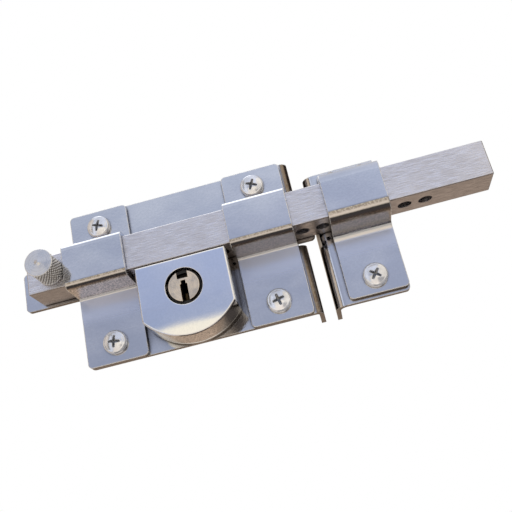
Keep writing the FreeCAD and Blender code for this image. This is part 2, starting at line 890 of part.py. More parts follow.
def cylinder_body():
    """Shell with the plug's bore, the pin chambers and a foot on the base plate."""
    shell = rod_y("shell", "shell_radius", ("housing_inner", "shell_rear"), "0", "axis_z")
    chamber_block = block(
        "chamber_block",
        ("-block_half", "block_half"),
        ("housing_inner", "shell_rear"),
        ("-block_bottom", "axis_z"),
    )
    foot = block(
        "cylinder_foot",
        ("-block_half", "block_half"),
        ("shell_rear", "plate_front"),
        ("-block_bottom", "-foot_top"),
    )
    whole = fuse("cylinder_solid", [shell, chamber_block, foot])
    tools = [rod_y("plug_bore", "bore_radius", ("housing_inner", "shell_rear"), "0", "axis_z")]
    for index, y in enumerate(pin_rows()):
        tools.append(
            rod_z(f"chamber_{index}", "chamber_radius", ("-block_bottom", "axis_z"), "0", y)
        )
    tools.append(
        block(
            "cap_groove",
            ("-cap_half - running_gap / 2", "cap_half + running_gap / 2"),
            ("housing_inner", "shell_rear"),
            ("-block_bottom", "chamber_bottom"),
        )
    )
    for side in ("-", ""):
        tools.append(
            rod_y(
                "cylinder_screw_bore",
                "cylinder_screw_radius + thread_gap",
                ("-small_screw_length - 1", "plate_front"),
                side + "cylinder_screw_x",
                "cylinder_screw_z",
            )
        )
    return cut("cylinder_body", whole, tools)


def chamber_cap():
    """Strip that closes the pin chambers."""
    return block(
        "chamber_cap",
        ("-cap_half", "cap_half"),
        ("housing_inner", "shell_rear"),
        ("-block_bottom", "chamber_bottom"),
    )


def driver_pins():
    """Driver pins below the shear line."""
    pins = [
        rod_z(f"driver_{index}", "pin_radius", ("driver_bottom", "driver_top"), "0", y)
        for index, y in enumerate(pin_rows())
    ]
    return group("driver_pins", pins)


def group(name, pieces):
    """Separate solids kept together under one name."""
    compound = doc.addObject("Part::Compound", name)
    compound.Links = pieces
    return compound


def pin_springs():
    """Sleeves that fill the space of the coil springs between the driver pins and the cap."""
    sleeves = []
    for index, y in enumerate(pin_rows()):
        span = ("chamber_bottom", "driver_bottom")
        outer = rod_z(f"spring_{index}_outer", "pin_radius", span, "0", y)
        inner = rod_z(f"spring_{index}_inner", "pin_radius - spring_wall", span, "0", y)
        sleeves.append(cut(f"spring_{index}", outer, [inner]))
    return group("pin_springs", sleeves)


def slide_rails():
    """Two rails with lips that hold the dog's slide against the base plate."""
    rails = []
    for name, way in (("left_rail", "-"), ("right_rail", "")):
        inner, outer = f"{way}(rail_inner)", f"{way}(rail_inner + rail_width)"
        lip_end = f"{way}(rail_inner - rail_lip)"
        post_x = (outer, inner) if way else (inner, outer)
        lip_x = (inner, lip_end) if way else (lip_end, inner)
        tall = ("rail_bottom", "rail_top")
        post = block(name + "_post", post_x, ("rail_front", "plate_front"), tall)
        lip = block(name + "_lip", lip_x, ("rail_front", "rail_front + rail_sheet"), tall)
        rails.append(fuse(name, [post, lip]))
    return group("slide_rails", rails)


def pan_head_screw():
    """Screw with a rounded head and a cross recess, its head's underside at the origin."""
    body = turned(
        "pan_head_screw",
        [
            ("0", "-head_height"),
            ("head_top_radius", "-head_height"),
            ("head_shoulder_radius", "-head_rim - head_shoulder_step"),
            ("head_radius", "-head_rim"),
            ("head_radius", "0"),
            ("screw_neck_radius", "0"),
            ("screw_neck_radius", "-tab_front"),
            ("screw_radius", "-tab_front"),
            ("screw_radius", "screw_length - screw_tip"),
            ("0", "screw_length"),
        ],
    )
    recess = sketch_on(body, "XZ_Plane", "cross_recess", "head_height")
    reach, side = "recess_reach", "recess_width / 2"
    outline(
        recess,
        [
            (reach, f"-{side}"),
            (reach, side),
            (side, side),
            (side, reach),
            (f"-{side}", reach),
            (f"-{side}", side),
            (f"-{reach}", side),
            (f"-{reach}", f"-{side}"),
            (f"-{side}", f"-{side}"),
            (f"-{side}", f"-{reach}"),
            (side, f"-{reach}"),
            (side, f"-{side}"),
        ],
    )
    pocket(body, recess, "cross_recess_cut", "recess_depth")
    return body


def bolt_bar():
    """Square bar with the row of locking holes in its underside."""
    body = new_body("bolt_bar")
    section = sketch_on(body, "YZ_Plane", "bar_section", "bar_tail")
    square_outline(
        section,
        [
            ("level", "bar_bottom"),
            ("upright", "bar_back"),
            ("level", "bar_top"),
            ("upright", "bar_front"),
        ],
        [None] * 4,
    )
    pad(body, section, "bar_pad", "bar_length")
    round_edges(
        body, "bar_bevel", "bar_edge", lambda edge, middle: True, kind="Chamfer"
    )
    hole = sketch_on(body, "XY_Plane", "lock_hole", "bar_bottom")
    circle(hole, "lock_hole_radius", "0", "bar_middle")
    first = pocket(body, hole, "lock_hole_cut", "lock_hole_depth", reverse=True)
    pattern(body, first, "lock_hole_row", (hole, ["H_Axis"]), "lock_hole_count", "lock_hole_pitch")
    stop = sketch_on(body, "XZ_Plane", "stop_hole", "-bar_back")
    circle(stop, "stop_radius + thread_gap", "stop_place", "bar_rise")
    pocket(body, stop, "stop_hole_cut", "stop_depth + thread_gap", reverse=True)
    stud = sketch_on(body, "XZ_Plane", "stud_hole", "-bar_front")
    circle(stud, "stud_radius + thread_gap", "knob_x", "bar_rise")
    pocket(body, stud, "stud_hole_cut", "stud_in_bar + thread_gap")
    return body


def bolt_knob():
    """Knob with a neck, a shallow coned face and the turning centre's dimple."""
    body = turned(
        "bolt_knob",
        [
            ("0", "knob_front + knob_dimple_depth"),
            ("knob_dimple_radius", "knob_front"),
            ("knob_face_radius", "knob_face"),
            ("knob_radius", "knob_body_front"),
            ("knob_radius", "knob_shoulder"),
            ("knob_neck_radius", "knob_shoulder"),
            ("knob_neck_radius", "bar_front"),
            ("stud_radius + thread_gap", "bar_front"),
            ("stud_radius + thread_gap", "bar_front - stud_in_knob - thread_gap"),
            ("0", "bar_front - stud_in_knob - thread_gap"),
        ],
    )
    return place(body, "knob_x", "0", "bar_rise")


def knob_stud():
    """Stud that holds the knob to the bar."""
    return rod_y(
        "knob_stud",
        "stud_radius",
        ("bar_front - stud_in_knob", "bar_front + stud_in_bar"),
        "knob_x",
        "bar_rise",
    )


def bolt_stop_pin():
    """Pin pressed into the bar's back, which stops the bolt at both ends of its slot."""
    return rod_y(
        "bolt_stop_pin",
        "stop_radius",
        ("bar_back - stop_depth", "-stop_gap"),
        "stop_place",
        "bar_rise",
    )


def cylinder_plug():
    """Plug with its collar, clip groove, keyway, pin holes and crank."""
    body = turned(
        "cylinder_plug",
        [
            ("0", "housing_front"),
            ("collar_radius", "housing_front"),
            ("collar_radius", "collar_back"),
            ("barrel_radius", "collar_back"),
            ("barrel_radius", "clip_front - bore_gap"),
            ("groove_radius", "clip_front - bore_gap"),
            ("groove_radius", "groove_back"),
            ("barrel_radius", "groove_back"),
            ("barrel_radius", "barrel_rear"),
            ("0", "barrel_rear"),
        ],
    )
    crank = sketch_on(body, "XZ_Plane", "crank_outline", "-barrel_rear")
    circle(crank, "crank_radius", "-crank_offset", "-crank_offset")
    pad(body, crank, "crank_pad", "crank_end - barrel_rear", reverse=True)
    keyway = [
        ("blade", "blade_width", "step_top", "blade_top", "keyway_depth"),
        ("step", "step_width", "-collar_radius - 1", "step_top", "keyway_depth"),
        ("blade_mouth", "blade_width + mouth_extra", "step_top", "blade_top", "mouth_depth"),
        ("step_mouth", "step_width + mouth_extra", "-collar_radius - 1", "step_top", "mouth_depth"),
        ("window", "window_width", "window_bottom", "collar_radius + 1", "window_depth"),
    ]
    for name, width, low, high, depth in keyway:
        sketch = sketch_on(body, "XZ_Plane", name + "_outline", "-housing_front")
        square_outline(
            sketch,
            [
                ("level", low),
                ("upright", f"({width}) / 2"),
                ("level", high),
                ("upright", f"-({width}) / 2"),
            ],
            [None] * 4,
        )
        pocket(body, sketch, name + "_cut", depth)
    hole = sketch_on(body, "XY_Plane", "pin_hole")
    circle(hole, "chamber_radius", "0", "pin_first")
    first = pocket(body, hole, "pin_hole_cut")
    pattern(body, first, "pin_hole_row", (hole, ["V_Axis"]), "pin_count", "pin_pitch")
    return place(body, "0", "0", "axis_z")


def plug_circlip():
    """Open ring that keeps the plug in its body."""
    ring = rod_y("clip_disc", "clip_radius", ("clip_front", "clip_back"), "0", "axis_z")
    hole = rod_y(
        "clip_hole", "groove_radius + bore_gap", ("clip_front", "clip_back"), "0", "axis_z"
    )
    mouth = block(
        "clip_mouth_gap",
        ("-clip_mouth / 2", "clip_mouth / 2"),
        ("clip_front", "clip_back"),
        ("axis_z - clip_radius", "axis_z"),
    )
    return cut("plug_circlip", ring, [hole, mouth])


def key_pins():
    """Key pins of stepped lengths in the plug, each with a coned tip."""
    pins = []
    for index, y in enumerate(pin_rows()):
        top = f"key_pin_bottom + key_pin_short + {index} * key_pin_step"
        shank = rod_z(f"key_pin_{index}_shank", "pin_radius", ("key_pin_bottom", top), "0", y)
        tip = doc.addObject("Part::Cone", f"key_pin_{index}_tip")
        tip.setExpression("Radius1", bound("pin_radius"))
        tip.setExpression("Radius2", bound("pin_radius / 3"))
        tip.setExpression("Height", bound("pin_tip"))
        place(tip, "0", y, top)
        pins.append(fuse(f"key_pin_{index}", [shank, tip]))
    return group("key_pins", pins)


def dog_slide():
    """Bent slide: its slot takes the crank, and its arm reaches forward under the bolt."""
    body = new_body("slide_sheet_body")
    section = sketch_on(body, "YZ_Plane", "slide_section")
    square_outline(
        section,
        [
            ("level", "-slide_bottom"),
            ("upright", "slide_back"),
            ("level", "arm_top"),
            ("upright", "arm_front"),
            ("level", "arm_bottom"),
            ("upright", "slide_front"),
        ],
        [None, "slide_bend_outer", None, None, "slide_bend", None],
    )
    pad(body, section, "slide_pad", "arm_width", side="Symmetric")
    wide = block(
        "slide_wide",
        ("-slide_half", "slide_half"),
        ("slide_front", "slide_back"),
        ("-slide_bottom", "slide_shoulder_z"),
    )
    whole = fuse("slide_whole", [body, wide])
    slot = block(
        "crank_slot",
        ("crank_slot_left", "crank_slot_right"),
        ("slide_front", "slide_back"),
        ("axis_z - crank_offset - crank_slot_half", "axis_z - crank_offset + crank_slot_half"),
    )
    hole = rod_z(
        "spigot_hole", "spigot_radius + thread_gap", ("arm_bottom", "arm_top"), "0", "bar_middle"
    )
    return cut("dog_slide", whole, [slot, hole])


def dog_pin():
    """Locking pin on the slide's arm, with a bevelled top and a spigot through the arm."""
    body = turned(
        "dog_pin",
        [
            ("0", "arm_bottom"),
            ("spigot_radius", "arm_bottom"),
            ("spigot_radius", "arm_top"),
            ("dog_radius", "arm_top"),
            ("dog_radius", "dog_top - dog_edge"),
            ("dog_radius - dog_edge", "dog_top"),
            ("0", "dog_top"),
        ],
    )
    return place(body, "0", "bar_middle", "0", (Vector(1, 0, 0), 90))


def keeper_plate():
    """Plate on the door frame with the flange that faces the lock's."""
    body = new_body("keeper_plate")
    section = sketch_on(body, "XY_Plane", "keeper_section")
    square_outline(
        section,
        [
            ("level", "plate_front"),
            ("upright", "keeper_right"),
            ("level", "0"),
            ("upright", "keeper_flange + keeper_sheet"),
            ("level", "flange_depth"),
            ("upright", "keeper_flange"),
        ],
        [None, None, "keeper_bend", None, None, "keeper_bend + keeper_sheet"],
    )
    feature = pad(body, section, "keeper_pad", "keeper_top")
    feature.SideType = "Two sides"
    feature.setExpression("Length2", bound("half_height"))
    doc.recompute()
    right = number("keeper_right")
    bottom = number("-half_height")
    round_edges(
        body,
        "keeper_corner",
        "sheet_corner",
        lambda edge, middle: along(edge, Vector(0, 1, 0))
        and near(middle.x, right)
        and near(middle.z, bottom),
    )
    holes = sketch_on(body, "XZ_Plane", "keeper_holes")
    circle(holes, "screw_hole_radius", "strap_middle", "-keeper_screw_drop")
    for side in ("-", "+"):
        circle(
            holes,
            "rivet_radius + thread_gap",
            f"strap_middle {side} rivet_spacing / 2",
            "rivet_rise",
        )
    pocket(body, holes, "keeper_holes_cut", side="Symmetric")
    return body


def keeper_strap():
    """Strap over the bolt's nose, riveted above it and screwed below it."""
    body, section = bent_strap(
        "keeper_strap",
        "strap_bend",
        "strap_inner_front",
        "strap_outer_front",
        "strap_inner_top",
        "strap_outer_top",
        "strap_inner_bottom",
        "strap_outer_bottom",
        "strap_top",
        "-strap_foot",
    )
    pad(body, section, "keeper_strap_pad", "strap_width", side="Symmetric")
    holes = sketch_on(body, "XZ_Plane", "keeper_strap_holes")
    circle(holes, "screw_hole_radius", "0", "-keeper_screw_drop")
    for side in ("-", ""):
        circle(holes, "rivet_radius + thread_gap", side + "rivet_spacing / 2", "rivet_rise")
    pocket(body, holes, "keeper_strap_holes_cut", side="Symmetric")
    round_tab_corners(body, "keeper_strap_corners", "strap_width / 2")
    return place(body, "strap_middle")


def keeper_rivets():
    """Two rivets through the strap's upper tab and the keeper plate."""
    master = turned(
        "rivet_master",
        [
            ("0", "tab_front - rivet_head_height"),
            ("rivet_head_radius * 0.6", "tab_front - rivet_head_height"),
            ("rivet_head_radius", "tab_front - rivet_head_height / 3"),
            ("rivet_head_radius", "tab_front"),
            ("rivet_radius", "tab_front"),
            ("rivet_radius", "0"),
            ("0", "0"),
        ],
    )
    spots = [(f"strap_middle {side} rivet_spacing / 2", "0", "rivet_rise", 0) for side in ("-", "+")]
    return copies("keeper_rivets", master, spots)


def check_all():
    """Stop if any object failed or any sub-part's shape is missing or unsound."""
    for item in doc.Objects:
        if "Invalid" in item.State or "Error" in item.State:
            raise ValueError(f"{item.Label} failed: {item.State}")


fill_sheet()
screw = pan_head_screw()
RECESS_TURNS = (18.0, 10.0, 24.0, -14.0)
NODES = {
    "base_plate": base_plate(),
    "left_guide": guide("left_guide", "-half_wide"),
    "right_guide": guide("right_guide", "half_wide"),
    "cylinder_housing": cylinder_housing(),
    "housing_screws": small_screws("housing_screws", "small_screw_radius", "small_head_radius"),
    "cylinder_body": cylinder_body(),
    "cylinder_screws": small_screws(
        "cylinder_screws", "cylinder_screw_radius", "cylinder_head_radius"
    ),
    "chamber_cap": chamber_cap(),
    "driver_pins": driver_pins(),
    "pin_springs": pin_springs(),
    "slide_rails": slide_rails(),
    "mounting_screws": copies(
        "mounting_screws",
        screw,
        [(x, "tab_front", z, turn) for (x, z), turn in zip(SCREW_PLACES, RECESS_TURNS)],
    ),
    "bolt_bar": bolt_bar(),
    "bolt_knob": bolt_knob(),
    "knob_stud": knob_stud(),
    "bolt_stop_pin": bolt_stop_pin(),
    "cylinder_plug": cylinder_plug(),
    "plug_circlip": plug_circlip(),
    "key_pins": key_pins(),
    "dog_slide": dog_slide(),
    "dog_pin": dog_pin(),
    "keeper_plate": keeper_plate(),
    "keeper_strap": keeper_strap(),
    "keeper_rivets": keeper_rivets(),
    "keeper_screw": copies(
        "keeper_screw", screw, [("strap_middle", "tab_front", "-keeper_screw_drop", 38.0)]
    ),
}
doc.recompute()
check_all()

os.makedirs("parts", exist_ok=True)
for node, piece in NODES.items():
    piece.Label = node
    shape = piece.Shape
    if shape.isNull() or not shape.isValid():
        raise ValueError(f"{node} has no sound shape")
    shape.exportStep(f"parts/{node}.step")
    print(f"{node:18s} solids {len(shape.Solids):2d}  volume {shape.Volume:10.1f} mm3")
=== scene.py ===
"""Rim lock: its finishes, knurled knob, cross-recessed screws, pin springs and studio."""

import math
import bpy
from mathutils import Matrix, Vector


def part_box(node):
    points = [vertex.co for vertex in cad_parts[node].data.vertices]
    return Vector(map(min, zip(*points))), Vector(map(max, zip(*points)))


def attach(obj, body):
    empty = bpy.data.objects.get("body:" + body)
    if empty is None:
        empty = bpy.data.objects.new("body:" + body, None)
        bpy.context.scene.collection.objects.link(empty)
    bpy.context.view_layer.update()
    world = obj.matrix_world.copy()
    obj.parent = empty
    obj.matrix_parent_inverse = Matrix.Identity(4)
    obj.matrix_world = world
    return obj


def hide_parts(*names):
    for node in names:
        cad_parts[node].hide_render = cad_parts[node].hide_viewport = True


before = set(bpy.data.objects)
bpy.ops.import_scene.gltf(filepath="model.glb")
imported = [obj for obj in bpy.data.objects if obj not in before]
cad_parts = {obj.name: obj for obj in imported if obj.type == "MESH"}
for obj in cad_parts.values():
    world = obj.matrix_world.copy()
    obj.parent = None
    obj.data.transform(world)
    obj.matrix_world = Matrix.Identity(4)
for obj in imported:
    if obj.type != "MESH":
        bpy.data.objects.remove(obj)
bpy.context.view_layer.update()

from types import SimpleNamespace

import bpy
import numpy as np

bl_info = {
    "name": "Rim lock",
    "version": (1, 0, 0),
    "blender": (4, 5, 0),
    "location": "3D View > Sidebar > Rim lock",
    "description": "Finishes and fine pieces of a rim lock with its keeper, and a plain studio",
    "category": "Object",
}

MM = 0.001


# Sizes and colours


def length(name, description, default):
    """Length in metres, given in millimetres."""
    kind = {"min": 0.0, "precision": 5, "subtype": "DISTANCE", "unit": "LENGTH"}
    return bpy.props.FloatProperty(name=name, description=description, default=default * MM, **kind)


def colour(name, description, default):
    """Colour with no alpha."""
    kind = {"size": 3, "min": 0.0, "max": 1.0, "subtype": "COLOR"}
    return bpy.props.FloatVectorProperty(name=name, description=description, default=default, **kind)


class RimLockSizes(bpy.types.PropertyGroup):
    """Sizes of the fine pieces."""

    knurl_count: bpy.props.IntProperty(
        name="Knurl count", description="Grooves of one hand round the knob", default=28, min=8
    )
    knurl_depth: length("Knurl depth", "Depth of the knob's crossed grooves", 0.45)
    knob_neck: length("Knob neck", "Length of the knob's plain neck at the bar", 0.6)
    knob_neck_step: length("Knob neck step", "How far the neck lies inside the knurl", 0.5)
    knob_crown: length("Knob crown", "How far the middle of the knob's face stands out", 0.7)
    knob_pip: length("Knob pip", "Radius of the low cone in the middle of the knob's face", 1.5)
    head_rise: length("Head rise", "Height of the low dome of a screw's head", 0.85)
    head_shoulder: length("Head shoulder", "Rounding between the dome and the rim of a head", 1.0)
    head_height: length("Head height", "Height of a screw's head", 3.5)
    recess_reach: length("Recess reach", "How far an arm of the cross runs from the middle", 2.7)
    recess_width: length("Recess width", "Width of an arm of the cross at its root", 1.2)
    recess_depth: length("Recess depth", "Depth of the cross at its middle", 1.8)
    neck_radius: length("Neck radius", "Radius of a screw's plain neck", 2.0)
    thread_radius: length("Thread radius", "Outer radius of a screw's thread", 2.4)
    thread_pitch: length("Thread pitch", "Distance between the turns of a screw's thread", 1.4)
    thread_depth: length("Thread depth", "Depth of a screw's thread", 0.5)
    spring_wire: length("Spring wire", "Thickness of the pin springs' wire", 0.4)
    spring_turns: bpy.props.FloatProperty(
        name="Spring turns", description="Turns of each pin spring", default=8.0, min=2.0
    )


class RimLockColours(bpy.types.PropertyGroup):
    """Colours of the finishes."""

    sheet_deep: colour("Sheet, deep", "Deeper patches of the polished sheet", (0.58, 0.61, 0.68))
    sheet_light: colour("Sheet, light", "Lighter patches of the polished sheet", (0.67, 0.69, 0.74))
    # Also the colour of painted shade: deep corners, down-facing edges, bend lines, walls' right end.
    sheet_grime_and_shade: colour("Grime and shade", "Dirt in corners and along seams", (0.10, 0.075, 0.055))
    # Bluer and brighter than the sheet, a painted reflection on the housing's front.
    housing_deep: colour("Housing, deep", "Deeper patches of the housing", (0.66, 0.73, 0.88))
    housing_light: colour("Housing, light", "Lighter patches of the housing", (0.74, 0.79, 0.90))
    # Also the colour of painted highlights on edges and seams.
    sheet_edge: colour("Sheet edge", "Edges and bends rubbed bright", (0.88, 0.85, 0.81))
    bar_deep: colour("Bar, deep", "Darker brushing of the bolt bar", (0.50, 0.505, 0.56))
    bar_light: colour("Bar, light", "Brighter brushing of the bolt bar", (0.78, 0.78, 0.83))
    knob_steel: colour("Knob", "Knurled steel of the knob", (0.72, 0.74, 0.79))
    # Also painted shade in the knob's grooves.
    knob_hollow: colour("Knob hollows", "Dirt in the knob's grooves", (0.045, 0.03, 0.02))
    screw_zinc: colour("Screws", "Zinc of the screws", (0.84, 0.87, 0.95))
    # Painted shade in the screws' recesses.
    screw_hollow: colour("Screw hollows", "Dark of the screws' recesses", (0.045, 0.05, 0.06))
    plug_nickel: colour("Plug", "Nickelled brass of the plug", (0.80, 0.70, 0.57))
    # Near black: painted shade in the gap round the plug.
    cylinder_shade: colour("Cylinder", "Darkened metal of the cylinder body", (0.05, 0.05, 0.05))
    brass: colour("Brass", "Tarnished brass of the pins", (0.34, 0.24, 0.12))
    plain_steel: colour("Plain steel", "Plain steel of the inner pieces", (0.52, 0.51, 0.50))
    floor: colour("Floor", "Pale floor", (0.80, 0.79, 0.77))


class RimLockStudio(bpy.types.PropertyGroup):
    """Camera, lamp and floor."""

    camera_place: bpy.props.FloatVectorProperty(
        name="Camera place",
        description="Where the camera stands",
        default=(0.05406, -0.29357, -0.12102),
        precision=5,
        subtype="TRANSLATION",
        unit="LENGTH",
    )
    camera_turn: bpy.props.FloatVectorProperty(
        name="Camera turn",
        description="The camera's turn about X, Y and Z",
        default=(math.radians(112.26508), math.radians(11.98905), math.radians(9.47205)),
        subtype="EULER",
        unit="ROTATION",
    )
    camera_lens: bpy.props.FloatProperty(
        name="Camera lens", description="Focal length in millimetres", default=50.973
    )
    lamp_power: bpy.props.FloatProperty(
        name="Lamp power", description="Power of the soft overhead lamp in watts", default=3.0
    )
    floor_drop: length("Floor drop", "How far the floor lies under the origin", 260.0)
    floor_width: length("Floor width", "Width of the square floor", 3000.0)


# Surfaces


def shell_mesh(name, grids):
    """One mesh of closed shells.

    Each grid holds points in rows along a piece and columns round it, and after X, Y and Z
    how hollow each point is, from 0 to 1, which becomes an attribute. Neighbouring rows
    and columns are joined by four-sided faces, the last column to the first. The first
    and last rows are drawn together to one point each and closed by a fan. A shell whose
    signed volume is negative is turned inside out, so that every face points outwards.
    """
    points, faces, start = [], [], 0
    for grid in grids:
        rows, columns, _ = grid.shape
        values = np.vstack([grid[0].mean(0), grid[1:-1].reshape(-1, 4), grid[-1].mean(0)])
        corners = values[:, :3]
        index = 1 + np.arange((rows - 2) * columns).reshape(rows - 2, columns)
        after = np.roll(index, -1, axis=1)
        quads = np.stack([index[:-1], after[:-1], after[1:], index[1:]], -1).reshape(-1, 4)
        tail = np.stack([np.zeros(columns, int), after[0], index[0]], -1)
        tip = np.stack([np.full(columns, len(corners) - 1), index[-1], after[-1]], -1)
        fans = np.vstack([tail, tip])
        triangles = np.vstack([quads[:, [0, 1, 2]], quads[:, [0, 2, 3]], fans])
        a, b, c = (corners[triangles[:, k]] for k in range(3))
        if np.einsum("ij,ij->i", a, np.cross(b, c)).sum() < 0:
            quads, fans = quads[:, ::-1], fans[:, ::-1]
        points.append(values)
        faces += (quads + start).tolist() + (fans + start).tolist()
        start += len(corners)
    points = np.vstack(points)
    mesh = bpy.data.meshes.new(name)
    mesh.from_pydata(points[:, :3], [], faces)
    hollow = mesh.attributes.new("hollow", "FLOAT", "POINT")
    hollow.data.foreach_set("value", points[:, 3].astype(np.float32))
    mesh.polygons.foreach_set("use_smooth", np.ones(len(mesh.polygons), bool))
    mesh.update()
    return mesh


def along_profile(corners, steps):
    """Places along a profile of straight runs, each run cut into its own number of steps."""
    corners = np.asarray(corners, float)
    runs = [
        start + (end - start) * np.linspace(0, 1, count, endpoint=False)[:, None]
        for start, end, count in zip(corners[:-1], corners[1:], steps)
    ]
    return np.vstack(runs + [corners[-1:]])


def placed(name, data, place=(0, 0, 0), turn=(0, 0, 0)):
    """Object with a mesh, lamp or camera, linked into the scene."""
    thing = bpy.data.objects.new(name, data)
    thing.location, thing.rotation_euler = place, turn
    bpy.context.scene.collection.objects.link(thing)
    return thing


SHARP_ANGLE = math.radians(35)


def add_piece(name, grids, body, stands_for, material):
    """Piece made from closed shells, which takes a node's place and moves with its body."""
    mesh = shell_mesh(name, grids)
    mesh.set_sharp_from_angle(angle=SHARP_ANGLE)
    mesh.materials.append(material)
    piece = placed(name, mesh)
    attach(piece, body)
    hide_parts(stands_for)


HAIR = 0.01 * MM
KNOB_BEVEL = 0.2 * MM
KNOB_CHAMFER = 0.3 * MM
KNOB_FILLET = 0.1 * MM
PIP_TIP = 0.5 * MM
KNURL_FADE = 0.5 * MM
KNURL_SLANT = 0.6
GROOVE_HALF_WIDTH = 0.4
GROOVE_COLUMNS = 14


def knob_surface(sizes, box):
    """Knob turned about Y, with crossed grooves.

    A profile of radius and depth along Y is carried round the axis. On the knurled run
    the radius drops by the depth times the larger of two V-shaped grooves, which run
    round the knob with opposite twist: each groove is 1 at whole numbers of
    count * angle / turn plus or minus the slant times the distance along Y over the
    pitch, and falls straight to 0 at its half width. The grooves fade out at both ends.
    """
    low, high = box
    middle = np.mean(box, axis=0)
    radius = (high[0] - low[0]) / 2
    front, back = low[1], high[1]
    pitch = 2 * math.pi * radius / sizes.knurl_count
    neck = radius - sizes.knob_neck_step
    shoulder = back - sizes.knob_neck
    body_front = front + sizes.knob_crown
    corners = [
        (0, back),
        (neck, back),
        (neck, shoulder + KNOB_FILLET),
        (neck + KNOB_FILLET, shoulder),
        (radius - KNOB_CHAMFER, shoulder),
        (radius, shoulder - KNOB_CHAMFER),
        (radius, body_front + KNOB_BEVEL),
        (radius - KNOB_BEVEL, body_front),
        (sizes.knob_pip, body_front - 0.5 * sizes.knob_crown),
        (PIP_TIP, front + KNOB_FILLET),
        (0, front),
    ]
    profile = along_profile(corners, [2, 3, 1, 1, 2, 120, 3, 14, 8, 2])
    angle = np.linspace(0, 2 * math.pi, sizes.knurl_count * GROOVE_COLUMNS, endpoint=False)
    along, around = np.meshgrid(profile[:, 1], angle, indexing="ij")
    size = np.repeat(profile[:, :1], len(angle), axis=1)
    place = sizes.knurl_count * around / (2 * math.pi)
    run = (along - body_front) / pitch

    def groove(value):
        """How deep a V-shaped groove is at a place counted in grooves."""
        return np.clip(1 - np.abs((value + 0.5) % 1 - 0.5) / GROOVE_HALF_WIDTH, 0, 1)

    depth = np.maximum(groove(place + run * KNURL_SLANT), groove(place - run * KNURL_SLANT))
    ends = np.clip((shoulder - KNURL_FADE / 2 - along) / KNURL_FADE, 0, 1)
    ends *= np.clip((along - body_front - KNOB_CHAMFER) / KNURL_FADE, 0, 1)
    depth = depth * ends * (size > radius - HAIR)
    size = size - sizes.knurl_depth * depth
    x = middle[0] + size * np.cos(around)
    z = middle[2] + size * np.sin(around)
    return np.stack([x, along, z, depth], -1)


def cross_depth(x, z, reach, width, depth):
    """Depth of a cross-shaped recess below a head.

    Each arm is deepest at the middle and loses three fifths of its depth with the square
    of the distance along it. It narrows by a third towards its end, its walls fall over a
    sixth of the width by a smooth step, and its end over a sixth of the reach. The recess
    is the deeper of its two arms.
    """

    def arm(along, across):
        """Depth of the arm that runs one way."""
        share = np.clip(np.abs(along) / reach, 0, 1)
        wall = width / 2 * (1 - 0.35 * share) - np.abs(across)
        side = np.clip(0.5 + wall / (0.16 * width), 0, 1)
        end = np.clip((reach - np.abs(along)) / (0.16 * reach), 0, 1)
        return depth * (1 - 0.6 * share**2) * side**2 * (3 - 2 * side) * end

    return np.maximum(arm(x, z), arm(z, x))


HEAD_ROWS = 40
RIM_ROWS = 12
RIM_RUN = 1.0 * MM
RIM_BREAK = 0.1 * MM
NECK_ROWS = 3
PITCH_ROWS = 12
POINT_ROWS = 14
CREST_SLOPE = 1.6


def screw_surface(sizes, head, underside, thread, turn, columns):
    """Screw turned about Y with a cross recess and a thread.

    The head's profile goes from the middle of its front to its rim, then down the neck
    and the thread to the point. Inside the head's rim the recess's depth is added along Y.
    On the threaded run the radius drops by the thread's depth times a wave of straight
    flanks that is 0 at the crest, flat at 1 in the root, and moves on by one pitch a turn.
    The last run tapers to the point. The columns lie closer together by the arms of the
    cross: the angle is u - sin(4 u) / 8. The whole screw is then turned about its axis.
    """
    steps = np.linspace(0, 2 * math.pi, columns, endpoint=False)
    angle = steps - np.sin(4 * steps) / 8
    thread_start, thread_end, tip = thread
    pitch, neck = sizes.thread_pitch, sizes.neck_radius
    rows = int(PITCH_ROWS * (thread_end - thread_start) / pitch)
    start = (neck, thread_start)
    shank = [(neck, underside), start, start, (neck, thread_end), (0, tip)]
    profile = np.vstack([head, along_profile(shank, [NECK_ROWS, 1, rows, POINT_ROWS])])
    size = np.repeat(profile[:, :1], columns, axis=1)
    along = np.repeat(profile[:, 1:], columns, axis=1)
    count = len(head)
    around = np.broadcast_to(angle, size.shape)
    on_thread = np.clip((along - thread_start) / pitch, 0, 1)
    on_thread *= np.arange(len(profile))[:, None] > count + NECK_ROWS
    wave = (along / pitch - around / (2 * math.pi)) % 1
    crest = np.clip(1 - np.abs(2 * wave - 1) * CREST_SLOPE, 0, 1)
    outer, root = sizes.thread_radius, sizes.thread_radius - sizes.thread_depth
    taper = np.clip((tip - along) / (tip - thread_end), 0, 1)
    threaded = (root + (outer - root) * crest) * taper
    size = np.where(on_thread > 0, neck + (threaded - neck) * on_thread, size)
    size[-1] = 0
    x, z = size * np.cos(around), size * np.sin(around)
    depth = sizes.recess_depth
    recess = cross_depth(x, z, sizes.recess_reach, sizes.recess_width, depth)
    recess = np.where(np.arange(len(profile))[:, None] < count - RIM_ROWS, recess, 0)
    along = along + recess
    hollow = np.where(on_thread > 0, 1 - crest, recess / depth)
    across = x * math.cos(turn) + z * math.sin(turn)
    upright = z * math.cos(turn) - x * math.sin(turn)
    return np.stack([across, along, upright, hollow], -1)


